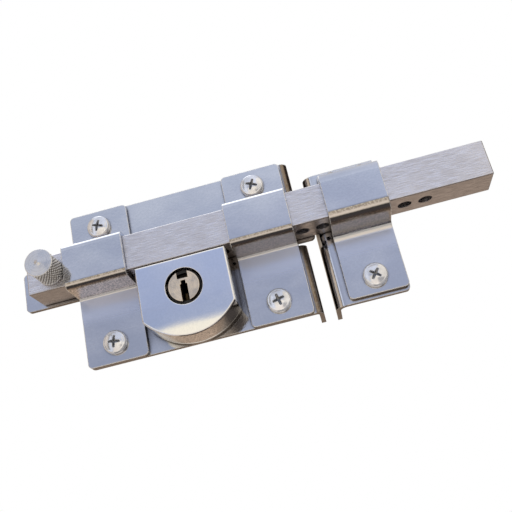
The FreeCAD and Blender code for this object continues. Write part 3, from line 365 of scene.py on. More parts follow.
def dome_profile(sizes, radius, underside):
    """Head's profile: a low dome, a round shoulder and an upright rim.

    The dome's height is its rise times 1 - (r / edge) ** 2, out to its edge. The shoulder
    is a quarter of a circle from there to the rim. The cross leaves the last rows alone,
    from the shoulder on.
    """
    shoulder = sizes.head_shoulder
    edge, front = radius - shoulder, underside - sizes.head_height
    share = np.linspace(0, 1, HEAD_ROWS)
    dome = np.stack([edge * share, front + sizes.head_rise * share**2], -1)
    turn = np.linspace(0.25, math.pi / 2, RIM_ROWS - 4)
    curve = [edge + shoulder * np.sin(turn), front + sizes.head_rise + shoulder * (1 - np.cos(turn))]
    rim = [(radius, underside - RIM_RUN), (radius, underside - RIM_BREAK)]
    foot = [(radius - RIM_BREAK, underside), (radius * 0.75, underside)]
    return np.vstack([dome, np.stack(curve, -1), rim, foot])


COIL_STEPS = 26
WIRE_STEPS = 8
FLAT_TURN = 0.75


def coil_surface(centre, radius, wire, low, high, turns):
    """Wire wound about an upright axis.

    The coil's outside has the given radius. The wire climbs from low to high at a steady
    rate over its turns, but lies flat for the first and last three quarters of a turn. A
    circle of the wire's radius is carried along it.
    """
    steps = int(turns * COIL_STEPS)
    share = np.linspace(0, 1, steps)
    angle = share * turns * 2 * math.pi
    lie = FLAT_TURN / turns
    climb = np.clip((share - lie) / (1 - 2 * lie), 0, 1)
    height = low + wire / 2 + climb * (high - low - wire)
    around = np.linspace(0, 2 * math.pi, WIRE_STEPS, endpoint=False)
    out = radius - wire / 2 + wire / 2 * np.cos(around)
    x = centre[0] + out * np.cos(angle)[:, None]
    y = centre[1] + out * np.sin(angle)[:, None]
    z = height[:, None] + wire / 2 * np.sin(around)
    return np.stack([x, y, z, np.zeros_like(x)], -1)


# Shader helpers and shared effects


def add(tree, kind, values=None, **settings):
    """Node with its settings and its named inputs."""
    node = tree.nodes.new(kind)
    for key, value in settings.items():
        setattr(node, key, value)
    fill(tree, node, values or {})
    return node


def fill(tree, node, values):
    """Sets each named input of a node, or links it to a socket. Colours get full alpha."""
    for key, value in values.items():
        place = node.inputs[key]
        if isinstance(value, bpy.types.NodeSocket):
            tree.links.new(value, place)
        else:
            place.default_value = (*value, 1.0) if place.type == "RGBA" else value


def calc(tree, operation, *values):
    """Result of one step of arithmetic."""
    return add(tree, "ShaderNodeMath", dict(enumerate(values)), operation=operation).outputs[0]


def times(tree, first, *others):
    """Product of masks and shares."""
    for other in others:
        first = calc(tree, "MULTIPLY", first, other)
    return first


def most(tree, first, *others):
    """Greatest of some masks at each point."""
    for other in others:
        first = calc(tree, "MAXIMUM", first, other)
    return first


def outside(tree, mask):
    """Mask of all that another mask leaves out."""
    return calc(tree, "SUBTRACT", 1.0, mask)


def spread(tree, value, low, high, to_low=0.0, to_high=1.0):
    """Value moved from one range to another by a smooth step, and held inside it."""
    values = {0: value, 1: low, 2: high, 3: to_low, 4: to_high}
    return add(tree, "ShaderNodeMapRange", values, interpolation_type="SMOOTHSTEP").outputs[0]


def band(tree, value, rise, top, edge, fall):
    """Mask that is 1 from the top to the edge, and 0 before the rise and past the fall."""
    return times(tree, spread(tree, value, rise, top), spread(tree, value, fall, edge))


def parts(tree, vector):
    """X, Y and Z of a vector."""
    return add(tree, "ShaderNodeSeparateXYZ", {0: vector}).outputs


def noise(tree, vector, scale, detail=2.0, roughness=0.5):
    """Cloudy pattern, as its value."""
    values = {"Vector": vector, "Scale": scale, "Detail": detail, "Roughness": roughness}
    return add(tree, "ShaderNodeTexNoise", values).outputs[0]


def stretched(tree, vector, scale, turn=(0, 0, 0), place=(0, 0, 0)):
    """Coordinates stretched, turned or moved."""
    values = {"Vector": vector, "Scale": scale, "Rotation": turn, "Location": place}
    return add(tree, "ShaderNodeMapping", values).outputs[0]


def relief(tree, height, normal, distance):
    """Normal tilted by a height pattern, whose 1 stands for the distance."""
    values = {"Height": height, "Normal": normal, "Distance": distance}
    return add(tree, "ShaderNodeBump", values).outputs[0]


# Tints of painted reflections: brown on the sheet's walls, warm on turned sides, cool on the tabs' strip.
BROWNED = (1.10, 1.00, 0.93)
WARMED = (1.2, 1.12, 1.0)
COOLED = (0.94, 1.0, 1.2)


def tinted(tone, factor):
    """Colour times one factor, or times one for each channel."""
    return np.multiply(tone, factor)


def rubbed(tone):
    """Colour of an edge made brighter, by wear and as a painted highlight."""
    return np.minimum(tinted(tone, 1.2), 1)


def mix(tree, share, first, second):
    """Colour between two colours."""
    node = add(tree, "ShaderNodeMix", {0: share, 6: first, 7: second}, data_type="RGBA")
    return node.outputs[2]


def layered(tree, tone, *layers):
    """Colour with others laid over it in turn, each by its own mask."""
    for mask, over in layers:
        tone = mix(tree, mask, tone, over)
    return tone


def new_group(name, inputs, build):
    """Node group with named inputs, and the outputs that the effect makes from them."""
    group = bpy.data.node_groups.new(name, "ShaderNodeTree")
    for label, default in inputs.items():
        kind = "NodeSocketVector" if default is None else "NodeSocketFloat"
        socket = group.interface.new_socket(label, in_out="INPUT", socket_type=kind)
        if default is not None:
            socket.default_value = default
    given = group.nodes.new("NodeGroupInput").outputs
    results = build(group, *(given[label] for label in inputs))
    for label in results:
        kind = "NodeSocketVector" if label == "Normal" else "NodeSocketFloat"
        group.interface.new_socket(label, in_out="OUTPUT", socket_type=kind)
    add(group, "NodeGroupOutput", results)
    return group


# Named inputs of the shared effects, with their defaults; None stands for coordinates
EFFECTS = {
    "polish ripples": {"Vector": None, "Wave scale": 30.0, "Pit scale": 1100.0, "Pits": 0.02},
    "brushed streaks": {"Vector": None, "Scale along": 150.0, "Scale across": 3000.0},
    "edge wear and highlight": {"Vector": None, "Radius": 0.4 * MM, "Amount": 1.0},
    "corner grime": {"Vector": None, "Reach": 1.6 * MM, "Amount": 1.0},
    "deep shade": {"Reach": 9 * MM, "Start": 0.5, "Full": 0.2, "Amount": 1.0},
    "hair scratches": {"Vector": None, "Amount": 1.0},
}


def use(tree, effect, values):
    """Outputs of a shared effect with its own values. Its group is made at the first use."""
    name = effect.__name__.replace("_", " ")
    group = bpy.data.node_groups.get(name) or new_group(name, EFFECTS[name], effect)
    return add(tree, "ShaderNodeGroup", values, node_tree=group).outputs


def polish_ripples(group, vector, wave_scale, pit_scale, pit_share):
    """Shallow waves and fine pits left in sheet by rolling and polishing."""
    waves = noise(group, vector, wave_scale, 1.5, 0.45)
    pits = noise(group, vector, pit_scale, 3.0, 0.6)
    moved = stretched(group, vector, (1, 1, 1.4), place=(3, 1, 2))
    return {
        "Height": calc(group, "ADD", waves, times(group, pits, pit_share)),
        "Patches": spread(group, noise(group, moved, 42.0, 3.0, 0.55), 0.36, 0.66),
        "Grain": spread(group, pits, 0.3, 0.7),
    }


def brushed_streaks(group, vector, along, across):
    """Fine streaks along X, in two layers that cross at a small angle."""
    scale = add(group, "ShaderNodeCombineXYZ", {0: along, 1: across, 2: across}).outputs[0]
    layers = []
    for turn, place in ((0.05, 0.0), (-0.09, 4.0)):
        turned = stretched(group, vector, (1, 1, 1), (0, turn, 0), (place, 0, 0))
        drawn = add(group, "ShaderNodeVectorMath", {0: turned, 1: scale}, operation="MULTIPLY")
        layers.append(noise(group, drawn.outputs[0], 1.0, 3.0, 0.65))
    both = times(group, calc(group, "ADD", *layers), 0.5)
    return {"Height": both, "Streaks": spread(group, both, 0.38, 0.62)}


def edge_wear_and_highlight(group, vector, radius, amount):
    """Softened edges, and a broken mask where they are brightened by wear and as a painted highlight."""
    soft = add(group, "ShaderNodeBevel", {"Radius": radius}, samples=6).outputs[0]
    plain = add(group, "ShaderNodeNewGeometry").outputs["Normal"]
    turn = add(group, "ShaderNodeVectorMath", {0: soft, 1: plain}, operation="DOT_PRODUCT")
    bend = spread(group, turn.outputs["Value"], 0.995, 0.9)
    broken = spread(group, noise(group, vector, 320.0, 3.0, 0.6), 0.3, 0.55, 0.35)
    return {"Wear and highlight": times(group, bend, broken, amount), "Normal": soft}


def covered(group, reach, start, full):
    """Mask of how much metal within reach covers each point."""
    cover = add(group, "ShaderNodeAmbientOcclusion", {"Distance": reach}, samples=8)
    return spread(group, cover.outputs["AO"], start, full)


def corner_grime(group, vector, reach, amount):
    """Soiling and painted shade where surfaces meet, by how much nearby metal covers each point."""
    broken = spread(group, noise(group, vector, 700.0, 3.0, 0.6), 0.25, 0.6, 0.6)
    return {"Grime and shade": times(group, covered(group, reach, 0.85, 0.35), broken, amount)}


def deep_shade(group, reach, start, full, amount):
    """Shade far inside narrow hollows, where little light comes in."""
    return {"Shade": times(group, covered(group, reach, start, full), amount)}


def hair_scratches(group, vector, amount):
    """Sparse thin scratches that run three ways."""
    marks = []
    for turn, place in ((0.4, 0.0), (1.3, 5.0), (2.5, 9.0)):
        lines = stretched(group, vector, (60, 2600, 2600), (0, turn, 0), (place, 0, 0))
        marks.append(spread(group, noise(group, lines, 1.0, 1.0, 0.4), 0.72, 0.78))
    return {"Scratches": times(group, most(group, *marks), amount)}


def empty_tree(owner):
    """Node tree of a material or world, with no nodes in it."""
    owner.use_nodes = True
    owner.node_tree.nodes.clear()
    return owner.node_tree


def new_material(name):
    """Material with an empty tree, and its object coordinates."""
    material = bpy.data.materials.new(name)
    tree = empty_tree(material)
    return material, tree, tree.nodes.new("ShaderNodeTexCoord").outputs["Object"]


def finish(material, base, roughness, metallic=0.0, **more):
    """Principled shader at the end of a material."""
    tree = material.node_tree
    values = {"Base Color": base, "Roughness": roughness, "Metallic": metallic, **more}
    shader = add(tree, "ShaderNodeBsdfPrincipled", values)
    add(tree, "ShaderNodeOutputMaterial", {"Surface": shader.outputs[0]})
    return material


# Finishes with their painted light and shade, and where they change along X, Y or Z, as the names say


KEEPER_GAP_X = (80 * MM, 82 * MM)
# Run along X over which the walls get painted shade towards the right.
SHADED_RUN_X = (5 * MM, 25 * MM)
PLATE_FRONT_Y = -2.02 * MM
TAB_FRONT_Y = -3.9 * MM
TABS_Y = (-4.3 * MM, -4.1 * MM, -3.9 * MM, -3.7 * MM)
SEAM_Y = (-5.4 * MM, -5.0 * MM, -4.0 * MM, -3.9 * MM)
HOUSING_RIM_Y = (-12 * MM, -15 * MM)
BELOW_WALLS_Z = (-19 * MM, -11 * MM, -4 * MM, -2 * MM)
# White of the housing's rims, a painted highlight.
RIM_WHITE = (1.0, 0.98, 0.95)
RING_DEPTH = 0.01 * MM
GRAIN_DEPTH = 0.02 * MM
BAR_WAVES = 0.3 * MM
BAR_LINES = 0.03 * MM
PLUG_FACE = 0.2 * MM
PLUG_SHADE_RUN = 0.5 * MM


def unpolished(tree, vector, facing):
    """Masks of faces with a rough finish and painted light: walls, lower cut edges, plate bends,
    strip and seam.

    Walls face up or down; they are rough and tinted brown, a painted reflection. Lower cut
    edges face down and get painted shade. The base plate is bent back at its right end and
    the keeper's plate at its left; these bends are rough and painted dark brown, a painted
    reflection. The strip of the tabs just below the walls is rough, matt and tinted bluer, a
    painted reflection, and the seam is the hollow bend between a lower wall and its tab,
    painted bright as a painted highlight.
    """
    across, _, upright = parts(tree, facing)
    place, depth, height = parts(tree, vector)
    across = times(tree, across, spread(tree, place, *KEEPER_GAP_X, 1.0, -1.0))
    walls = spread(tree, calc(tree, "ABSOLUTE", upright), 0.75, 0.95)
    behind_tabs = calc(tree, "GREATER_THAN", depth, TAB_FRONT_Y)
    foot = times(tree, spread(tree, upright, -0.5, -0.85), behind_tabs)
    at_plate = calc(tree, "GREATER_THAN", depth, PLATE_FRONT_Y)
    bends = times(tree, spread(tree, across, 0.03, 0.22), at_plate)
    strip = times(tree, band(tree, height, *BELOW_WALLS_Z), band(tree, depth, *TABS_Y))
    seam = times(tree, band(tree, depth, *SEAM_Y), spread(tree, upright, -0.1, -0.3))
    return walls, foot, bends, strip, seam


def bend_line(tree, facing):
    """Mask of the start of a bend's underside, where a dark line is painted as a painted reflection."""
    return band(tree, parts(tree, facing)[2], -0.03, -0.14, -0.3, -0.5)


def cup_rims(tree, vector, facing):
    """Masks of the housing's top and right rims, painted white as a painted highlight, and of its
    right wall, painted darker as painted shade.

    The right rim is painted bright only at the front, and where it stands upright, above the
    round part.
    """
    across, _, upright = parts(tree, facing)
    right = spread(tree, across, 0.2, 0.6)
    front = spread(tree, parts(tree, vector)[1], *HOUSING_RIM_Y)
    straight = times(tree, front, spread(tree, upright, -0.3, -0.12))
    bright = most(tree, spread(tree, upright, 0.1, 0.35), times(tree, right, straight))
    return bright, times(tree, right, outside(tree, straight))


def sheet_metal(
    name,
    deep,
    light,
    edge,
    grime,
    rough=(0.04, 0.08),
    wave=0.7 * MM,
    pits=0.03,
    shade_and_dirt_share=0.85,
    line=0.7,
    shade=(0.5, 0.2),
    rims=False,
):
    """Polished sheet: two tones in patches, edges brightened by wear and as a painted highlight,
    soiling and painted shade in corners, shallow waves and pits.

    The walls of the bends are rough and speckled, tinted brown as a painted reflection and
    darker to the right as painted shade, and the plate bends are painted dark brown. A dark
    line is painted where a bend starts, as a painted reflection. The strip of the tabs below
    the walls is rough, matt and tinted bluer as a painted reflection, the seam behind it is
    painted bright as a painted highlight, and deep corners get painted shade.
    """
    material, tree, vector = new_material(name)
    ripples = use(tree, polish_ripples, {"Vector": vector, "Pits": pits})
    wear_and_highlight = use(tree, edge_wear_and_highlight, {"Vector": vector, "Radius": 0.55 * MM})
    marks = use(tree, hair_scratches, {"Vector": vector, "Amount": 0.12})
    dirt_and_shade = use(tree, corner_grime, {"Vector": vector, "Amount": shade_and_dirt_share})
    dark = use(tree, deep_shade, {"Start": shade[0], "Full": shade[1], "Amount": shade_and_dirt_share})
    walls, foot, bends, strip, seam = unpolished(tree, vector, wear_and_highlight["Normal"])
    rough_browned = most(tree, walls, bends)
    grains = spread(tree, noise(tree, vector, 1300.0, 2.0, 0.7), 0.42, 0.58)
    rows = noise(tree, stretched(tree, vector, (2600, 900, 60)), 1.0, 2.0, 0.6)
    # Painted shade growing to the right along the walls.
    right_shade = spread(tree, parts(tree, vector)[0], *SHADED_RUN_X, 0.0, 0.5)
    # Edges brightened by wear and as a painted highlight, but not the down-facing cut edges.
    edges = times(tree, wear_and_highlight["Wear and highlight"], outside(tree, foot))
    # Dark line painted where a bend's underside starts, a painted reflection.
    bend_shade_line = times(tree, bend_line(tree, wear_and_highlight["Normal"]), spread(tree, grains, 0.0, 1.0, 0.6), line)
    tone = layered(
        tree,
        mix(tree, ripples["Patches"], deep, light),
        (times(tree, ripples["Grain"], 0.22), tinted(deep, 0.8)),
        (marks["Scratches"], edge),
        # Walls tinted brown, a painted reflection, and darker to the right, painted shade.
        (times(tree, walls, 0.8), tinted(edge, BROWNED)),
        (times(tree, walls, right_shade), grime),
        # Plate bends painted dark brown with streaks, a painted reflection.
        (times(tree, bends, 0.9), tinted(grime, 2.2)),
        (times(tree, bends, spread(tree, rows, 0.4, 0.6, 0.0, 0.6)), tinted(grime, 0.7)),
        (times(tree, grains, rough_browned, 0.68), tinted(edge, 0.3)),
        # Down-facing cut edges painted dark, painted shade.
        (times(tree, foot, 0.75), grime),
        (edges, edge),
        # Dark line at the start of a bend's underside, a painted reflection.
        (bend_shade_line, grime),
        # Soiling and painted shade where surfaces meet.
        (dirt_and_shade["Grime and shade"], grime),
        (dark["Shade"], tinted(grime, 0.3)),
        # Strip of the tabs tinted bluer, a painted reflection.
        (times(tree, strip, 0.9), tinted(deep, COOLED)),
        # Seam painted bright, a painted highlight.
        (times(tree, seam, 0.8), edge),
    )
    matt = most(tree, times(tree, edges, outside(tree, bend_shade_line)), seam, strip)
    if rims:
        bright, painted_side = cup_rims(tree, vector, wear_and_highlight["Normal"])
        # Painted shade on the housing's right wall, and painted white highlights on its rims.
        tone = layered(tree, tone, (times(tree, painted_side, 0.85), grime), (bright, RIM_WHITE))
        matt = most(tree, matt, bright)
    rough_all = spread(tree, ripples["Patches"], 0.0, 1.0, *rough)
    for mask, share in ((wear_and_highlight["Wear and highlight"], 0.12), (rough_browned, 0.24), (strip, 0.16)):
        rough_all = calc(tree, "ADD", rough_all, times(tree, mask, share))
    normal = relief(tree, ripples["Height"], wear_and_highlight["Normal"], wave)
    return finish(material, tone, rough_all, outside(tree, times(tree, matt, 0.7)), Normal=normal)


def brushed_metal(name, deep, light, edge, grime):
    """Bar brushed along its length, browner below as a painted reflection, with its upper
    edges matt and brightened by wear and as a painted highlight.
    """
    material, tree, vector = new_material(name)
    streaks = use(tree, brushed_streaks, {"Vector": vector})
    ripples = use(tree, polish_ripples, {"Vector": vector, "Wave scale": 22.0})
    wear_and_highlight = use(tree, edge_wear_and_highlight, {"Vector": vector, "Radius": 0.25 * MM})
    dirt_and_shade = use(tree, corner_grime, {"Vector": vector, "Amount": 0.2})
    upright = parts(tree, wear_and_highlight["Normal"])[2]
    rim = times(tree, wear_and_highlight["Wear and highlight"], spread(tree, upright, 0.02, 0.15))
    tone = layered(
        tree,
        mix(tree, streaks["Streaks"], deep, light),
        (times(tree, ripples["Patches"], 0.3), light),
        # Underside tinted browner, a painted reflection.
        (spread(tree, upright, -0.6, -0.9, 0.0, 0.45), tinted(grime, 2.2)),
        # Upper edges brightened by wear and as a painted highlight.
        (rim, edge),
        # Soiling and painted shade where surfaces meet.
        (dirt_and_shade["Grime and shade"], grime),
    )
    rough_all = spread(tree, streaks["Streaks"], 0.0, 1.0, 0.42, 0.26)
    waves = relief(tree, ripples["Height"], wear_and_highlight["Normal"], BAR_WAVES)
    lines = relief(tree, streaks["Height"], waves, BAR_LINES)
    return finish(material, tone, rough_all, outside(tree, times(tree, rim, 0.8)), Normal=lines)


def turned_metal(name, base, grime, centre, rough=0.3, ring=2600.0, shade_from=None, painted_side=0.0):
    """Metal turned on a lathe about an axis along Y: fine rings round its middle.

    Hollows that the mesh marks get painted shade with some soiling, and all that lies behind
    the place along Y given as shade_from gets painted shade. The sides are matt and tinted
    warmer, a painted reflection, by the share given for them.
    """
    material, tree, vector = new_material(name)
    moved = stretched(tree, vector, (1, 0, 1), place=(-centre[0], 0, -centre[2]))
    reach = add(tree, "ShaderNodeVectorMath", {0: moved}, operation="LENGTH").outputs["Value"]
    rings = noise(tree, add(tree, "ShaderNodeCombineXYZ", {0: reach}).outputs[0], ring, 2.0, 0.6)
    clouds = noise(tree, vector, 260.0, 3.0, 0.6)
    wear_and_highlight = use(tree, edge_wear_and_highlight, {"Vector": vector, "Radius": 0.2 * MM, "Amount": 0.6})
    forward = parts(tree, add(tree, "ShaderNodeNewGeometry").outputs["Normal"])[1]
    # Sides away from the front: matt and tinted warmer, a painted reflection.
    side = times(tree, spread(tree, forward, -0.95, -0.85), painted_side)
    tone = layered(
        tree,
        mix(tree, spread(tree, times(tree, rings, clouds), 0.15, 0.4), tinted(base, 0.78), base),
        # Edges brightened by wear and as a painted highlight.
        (wear_and_highlight["Wear and highlight"], rubbed(base)),
        (side, tinted(base, WARMED)),
        # Hollows made darker: painted shade, with some soiling.
        (hollow_mask(tree), grime),
    )
    # Painted shade on all that lies behind the given place along Y, such as the keyway.
    if shade_from is not None:
        shade = spread(tree, parts(tree, vector)[1], shade_from, shade_from + PLUG_SHADE_RUN)
        tone = mix(tree, shade, tone, tinted(grime, 0.1))
    rough_all = spread(tree, clouds, 0.3, 0.7, rough - 0.06, rough + 0.1)
    normal = relief(tree, rings, wear_and_highlight["Normal"], RING_DEPTH)
    return finish(material, tone, rough_all, outside(tree, side), Normal=normal)


def hollow_mask(tree):
    """How deep a point of a new piece lies in its grooves or recess; 0 on the others."""
    depth = add(tree, "ShaderNodeAttribute", attribute_name="hollow").outputs["Fac"]
    return spread(tree, depth, 0.15, 0.9, 0.0, 0.85)


def plain_metal(name, base, rough=(0.25, 0.42), grime=(0.08, 0.07, 0.06), metallic=1.0):
    """Plain metal with clouded tone and a fine grain."""
    material, tree, vector = new_material(name)
    clouds = noise(tree, vector, 150.0, 4.0, 0.6)
    grain = noise(tree, vector, 1400.0, 2.0, 0.5)
    wear_and_highlight = use(tree, edge_wear_and_highlight, {"Vector": vector, "Radius": 0.2 * MM, "Amount": 0.6})
    tone = layered(
        tree,
        mix(tree, spread(tree, clouds, 0.35, 0.68), tinted(base, 0.72), base),
        # Edges brightened by wear and as a painted highlight.
        (wear_and_highlight["Wear and highlight"], rubbed(base)),
        # Hollows made darker: painted shade, with some soiling.
        (hollow_mask(tree), grime),
    )
    rough_all = spread(tree, clouds, 0.3, 0.7, *rough)
    normal = relief(tree, grain, wear_and_highlight["Normal"], GRAIN_DEPTH)
    return finish(material, tone, rough_all, metallic, Normal=normal)


def dress(material, *names):
    """Gives a material to CAD nodes, through their objects' slots."""
    for name in names:
        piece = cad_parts[name]
        if not piece.material_slots:
            piece.data.materials.append(material)
        for place in piece.material_slots:
            place.material = material


# Operators


class RIMLOCK_OT_sheet(bpy.types.Operator):
    """Polished sheet of the plates, guides, strap and housing"""

    bl_idname = "rim_lock.sheet"
    bl_label = "Finish the polished sheet"

    def execute(self, context):
        colours = context.scene.rim_lock_colours
        used = (colours.sheet_edge, colours.sheet_grime_and_shade)
        tones = (colours.sheet_deep, colours.sheet_light, *used)
        sheet = sheet_metal("polished sheet", *tones)
        dress(sheet, "left_guide", "right_guide", "keeper_strap")
        plates = sheet_metal("polished plates", *tones, shade=(0.74, 0.36))
        dress(plates, "base_plate", "keeper_plate")
        cup = sheet_metal(
            "polished housing",
            colours.housing_deep,
            colours.housing_light,
            *used,
            rough=(0.04, 0.07),
            wave=0.3 * MM,
            pits=0.01,
            shade_and_dirt_share=0.3,
            line=0.0,
            rims=True,
        )
        dress(cup, "cylinder_housing")
        return {"FINISHED"}


class RIMLOCK_OT_bolt(bpy.types.Operator):
    """Brushed bolt bar"""

    bl_idname = "rim_lock.bolt"
    bl_label = "Finish the bolt"

    def execute(self, context):
        colours = context.scene.rim_lock_colours
        tones = (colours.bar_deep, colours.bar_light, colours.sheet_edge, colours.sheet_grime_and_shade)
        dress(brushed_metal("brushed bar", *tones), "bolt_bar")
        return {"FINISHED"}


class RIMLOCK_OT_knob(bpy.types.Operator):
    """Knob with crossed grooves, over the plain turned one"""

    bl_idname = "rim_lock.knob"
    bl_label = "Make the knurled knob"

    def execute(self, context):
        sizes, colours = context.scene.rim_lock_sizes, context.scene.rim_lock_colours
        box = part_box("bolt_knob")
        centre = np.mean(box, axis=0)
        steel = turned_metal("knurled steel", colours.knob_steel, colours.knob_hollow, centre, painted_side=0.6)
        grid = knob_surface(sizes, box)
        add_piece("knurled_knob", [grid], "bolt", "bolt_knob", steel)
        return {"FINISHED"}


FACE_COLUMNS = 112
POINT_RUN = 3.0 * MM
SCREW_TURNS = {"mounting_screws": (10.0, 18.0, -14.0, 24.0), "keeper_screw": (38.0,)}


def corner_places(low, high, radius):
    """Places of the screws in the corners of their box, to add to a grid's points."""
    low, high = np.array(low) + radius, np.array(high) - radius
    xs, zs = (np.unique(np.round([low[k], high[k]], 6)) for k in (0, 2))
    return [np.array([x, 0, z, 0]) for x in xs for z in zs]


class RIMLOCK_OT_face_screws(bpy.types.Operator):
    """Domed screws with a cross recess, through the guides and the keeper"""

    bl_idname = "rim_lock.face_screws"
    bl_label = "Make the domed screws"

    def execute(self, context):
        sizes, colours = context.scene.rim_lock_sizes, context.scene.rim_lock_colours
        zinc = plain_metal(
            "zinc screw", colours.screw_zinc, (0.1, 0.2), grime=colours.screw_hollow, metallic=0.62
        )
        low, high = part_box("keeper_screw")
        radius = (high[0] - low[0]) / 2
        for node, body in (("mounting_screws", "lock_body"), ("keeper_screw", "keeper")):
            low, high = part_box(node)
            underside = low[1] + sizes.head_height
            head = dome_profile(sizes, radius, underside)
            thread = (0.0, high[1] - POINT_RUN, high[1])
            grids = []
            for place, turn in zip(corner_places(low, high, radius), SCREW_TURNS[node]):
                grid = screw_surface(sizes, head, underside, thread, math.radians(turn), FACE_COLUMNS)
                grids.append(grid + place)
            add_piece("domed_" + node, grids, body, node, zinc)
        return {"FINISHED"}


SMALL_SCREWS = {"housing_screws": (2.7 * MM, 1.4 * MM), "cylinder_screws": (2.3 * MM, 1.2 * MM)}
SMALL_COLUMNS = 64
SMALL_TURN = math.radians(20)
SMALL_NECK_RUN = 0.4 * MM
SMALL_POINT_RUN = 0.8 * MM


def small_sizes(radius, neck):
    """Sizes of a small countersunk screw, from the radii of its head and its neck."""
    return SimpleNamespace(
        neck_radius=neck,
        thread_radius=neck,
        thread_pitch=0.7 * MM,
        thread_depth=0.2 * MM,
        recess_reach=0.62 * radius,
        recess_width=0.3 * radius,
        recess_depth=0.4 * radius,
    )


def flat_profile(radius, neck):
    """Countersunk head's profile: a flat face, then a cone at 45 degrees down to the neck."""
    face = along_profile([(0, 0), (radius, 0)], [HEAD_ROWS])
    cone = along_profile([(radius, 0), (neck, radius - neck)], [RIM_ROWS - 1])
    return np.vstack([face, cone[1:]])


class RIMLOCK_OT_small_screws(bpy.types.Operator):
    """Countersunk screws with a cross recess, in the back of the base plate"""

    bl_idname = "rim_lock.small_screws"
    bl_label = "Make the countersunk screws"

    def execute(self, context):
        colours = context.scene.rim_lock_colours
        zinc = plain_metal(
            "small screw zinc", colours.screw_zinc, (0.2, 0.32), grime=colours.screw_hollow, metallic=0.72
        )
        for node, (radius, neck) in SMALL_SCREWS.items():
            low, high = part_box(node)
            run, underside = high[1] - low[1], radius - neck
            sizes, head = small_sizes(radius, neck), flat_profile(radius, neck)
            thread = (underside + SMALL_NECK_RUN, run - SMALL_POINT_RUN, run)
            grid = screw_surface(sizes, head, underside, thread, SMALL_TURN, SMALL_COLUMNS)
            grid[..., 1] = high[1] - grid[..., 1]
            grids = [grid + place for place in corner_places(low, high, radius)]
            add_piece("recessed_" + node, grids, "lock_body", node, zinc)
        return {"FINISHED"}


SPRING_COUNT = 3


class RIMLOCK_OT_springs(bpy.types.Operator):
    """Coil springs of the pin chambers"""

    bl_idname = "rim_lock.springs"
    bl_label = "Make the pin springs"

    def execute(self, context):
        sizes, colours = context.scene.rim_lock_sizes, context.scene.rim_lock_colours
        steel = plain_metal("spring steel", colours.plain_steel)
        low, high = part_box("pin_springs")
        radius = (high[0] - low[0]) / 2
        rows = np.linspace(low[1] + radius, high[1] - radius, SPRING_COUNT)
        wire, turns = sizes.spring_wire, sizes.spring_turns
        grids = [coil_surface((0, y), radius, wire, low[2], high[2], turns) for y in rows]
        add_piece("coiled_springs", grids, "lock_body", "pin_springs", steel)
        return {"FINISHED"}


class RIMLOCK_OT_cylinder(bpy.types.Operator):
    """Plug, cylinder body, pins and their cap"""

    bl_idname = "rim_lock.cylinder"
    bl_label = "Finish the cylinder"

    def execute(self, context):
        colours = context.scene.rim_lock_colours
        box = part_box("cylinder_plug")
        plug = turned_metal(
            "nickelled plug",
            colours.plug_nickel,
            colours.sheet_grime_and_shade,
            np.mean(box, axis=0),
            rough=0.28,
            ring=1800.0,
            shade_from=box[0][1] + PLUG_FACE,
        )
        dress(plug, "cylinder_plug")
        # Near black cylinder body: painted shade in the gap round the plug.
        dark = plain_metal("shadowed cylinder", colours.cylinder_shade, rough=(0.45, 0.6))
        dress(dark, "cylinder_body")
        brass = plain_metal("pin brass", colours.brass)
        dress(brass, "driver_pins", "chamber_cap")
        # Key pins far darker than the brass: painted shade in the keyway.
        shaded = plain_metal("tarnished brass", tinted(colours.brass, 0.25), rough=(0.5, 0.65))
        dress(shaded, "key_pins")
        return {"FINISHED"}


class RIMLOCK_OT_inner_steel(bpy.types.Operator):
    """Dog slide and its rails and pin, stop pin, knob stud, circlip and rivets"""

    bl_idname = "rim_lock.inner_steel"
    bl_label = "Finish the inner steel"

    def execute(self, context):
        colours = context.scene.rim_lock_colours
        steel = plain_metal("plain steel", colours.plain_steel)
        dress(steel, "slide_rails", "dog_slide", "dog_pin", "bolt_stop_pin", "knob_stud", "plug_circlip")
        rivet = plain_metal("rivet steel", colours.plain_steel, rough=(0.5, 0.65))
        dress(rivet, "keeper_rivets")
        return {"FINISHED"}


ROOM_OVER = [
    (-180, 0.56, 0.45, 0.36),
    (-140, 0.54, 0.43, 0.34),
    (-115, 0.20, 0.14, 0.10),
    (-95, 0.07, 0.055, 0.05),
    (-52, 0.06, 0.05, 0.045),
    (-44, 0.80, 0.66, 0.50),
    (-30, 1.10, 0.90, 0.70),
    (-18, 1.20, 1.00, 0.78),
    (-6, 1.20, 1.04, 0.82),
    (8.8, 1.36, 1.18, 0.87),
    (10.2, 0.50, 0.54, 0.66),
    (18.5, 0.53, 0.56, 0.68),
    (24, 0.59, 0.63, 0.77),
    (29, 0.78, 0.82, 0.92),
    (34, 0.74, 0.78, 0.90),
    (60, 0.68, 0.71, 0.82),
    (92, 0.74, 0.76, 0.84),
    (120, 0.70, 0.70, 0.74),
    (145, 0.62, 0.58, 0.54),
    (158, 0.46, 0.38, 0.30),
    (172, 0.50, 0.40, 0.31),
    (180, 0.56, 0.45, 0.36),
]
ROOM_ROUND = [
    (-180, 0.40, 0.31, 0.23),
    (-150, 0.46, 0.36, 0.26),
    (-60, 0.78, 0.62, 0.46),
    (-48, 0.80, 0.64, 0.48),
    (-46, 0.04, 0.035, 0.03),
    (-42, 0.05, 0.045, 0.04),
    (-39, 1.00, 1.02, 1.08),
    (-31, 0.90, 0.93, 1.04),
    (-25, 0.60, 0.64, 0.75),
    (18, 0.58, 0.62, 0.75),
    (24, 1.00, 0.88, 0.70),
    (34, 1.15, 1.02, 0.82),
    (68, 1.05, 0.90, 0.70),
    (76, 0.30, 0.22, 0.15),
    (84, 0.04, 0.03, 0.03),
    (150, 0.06, 0.05, 0.05),
    (180, 0.40, 0.31, 0.23),
]
LOW_RIGHT = (0.26, 0.22, 0.19)
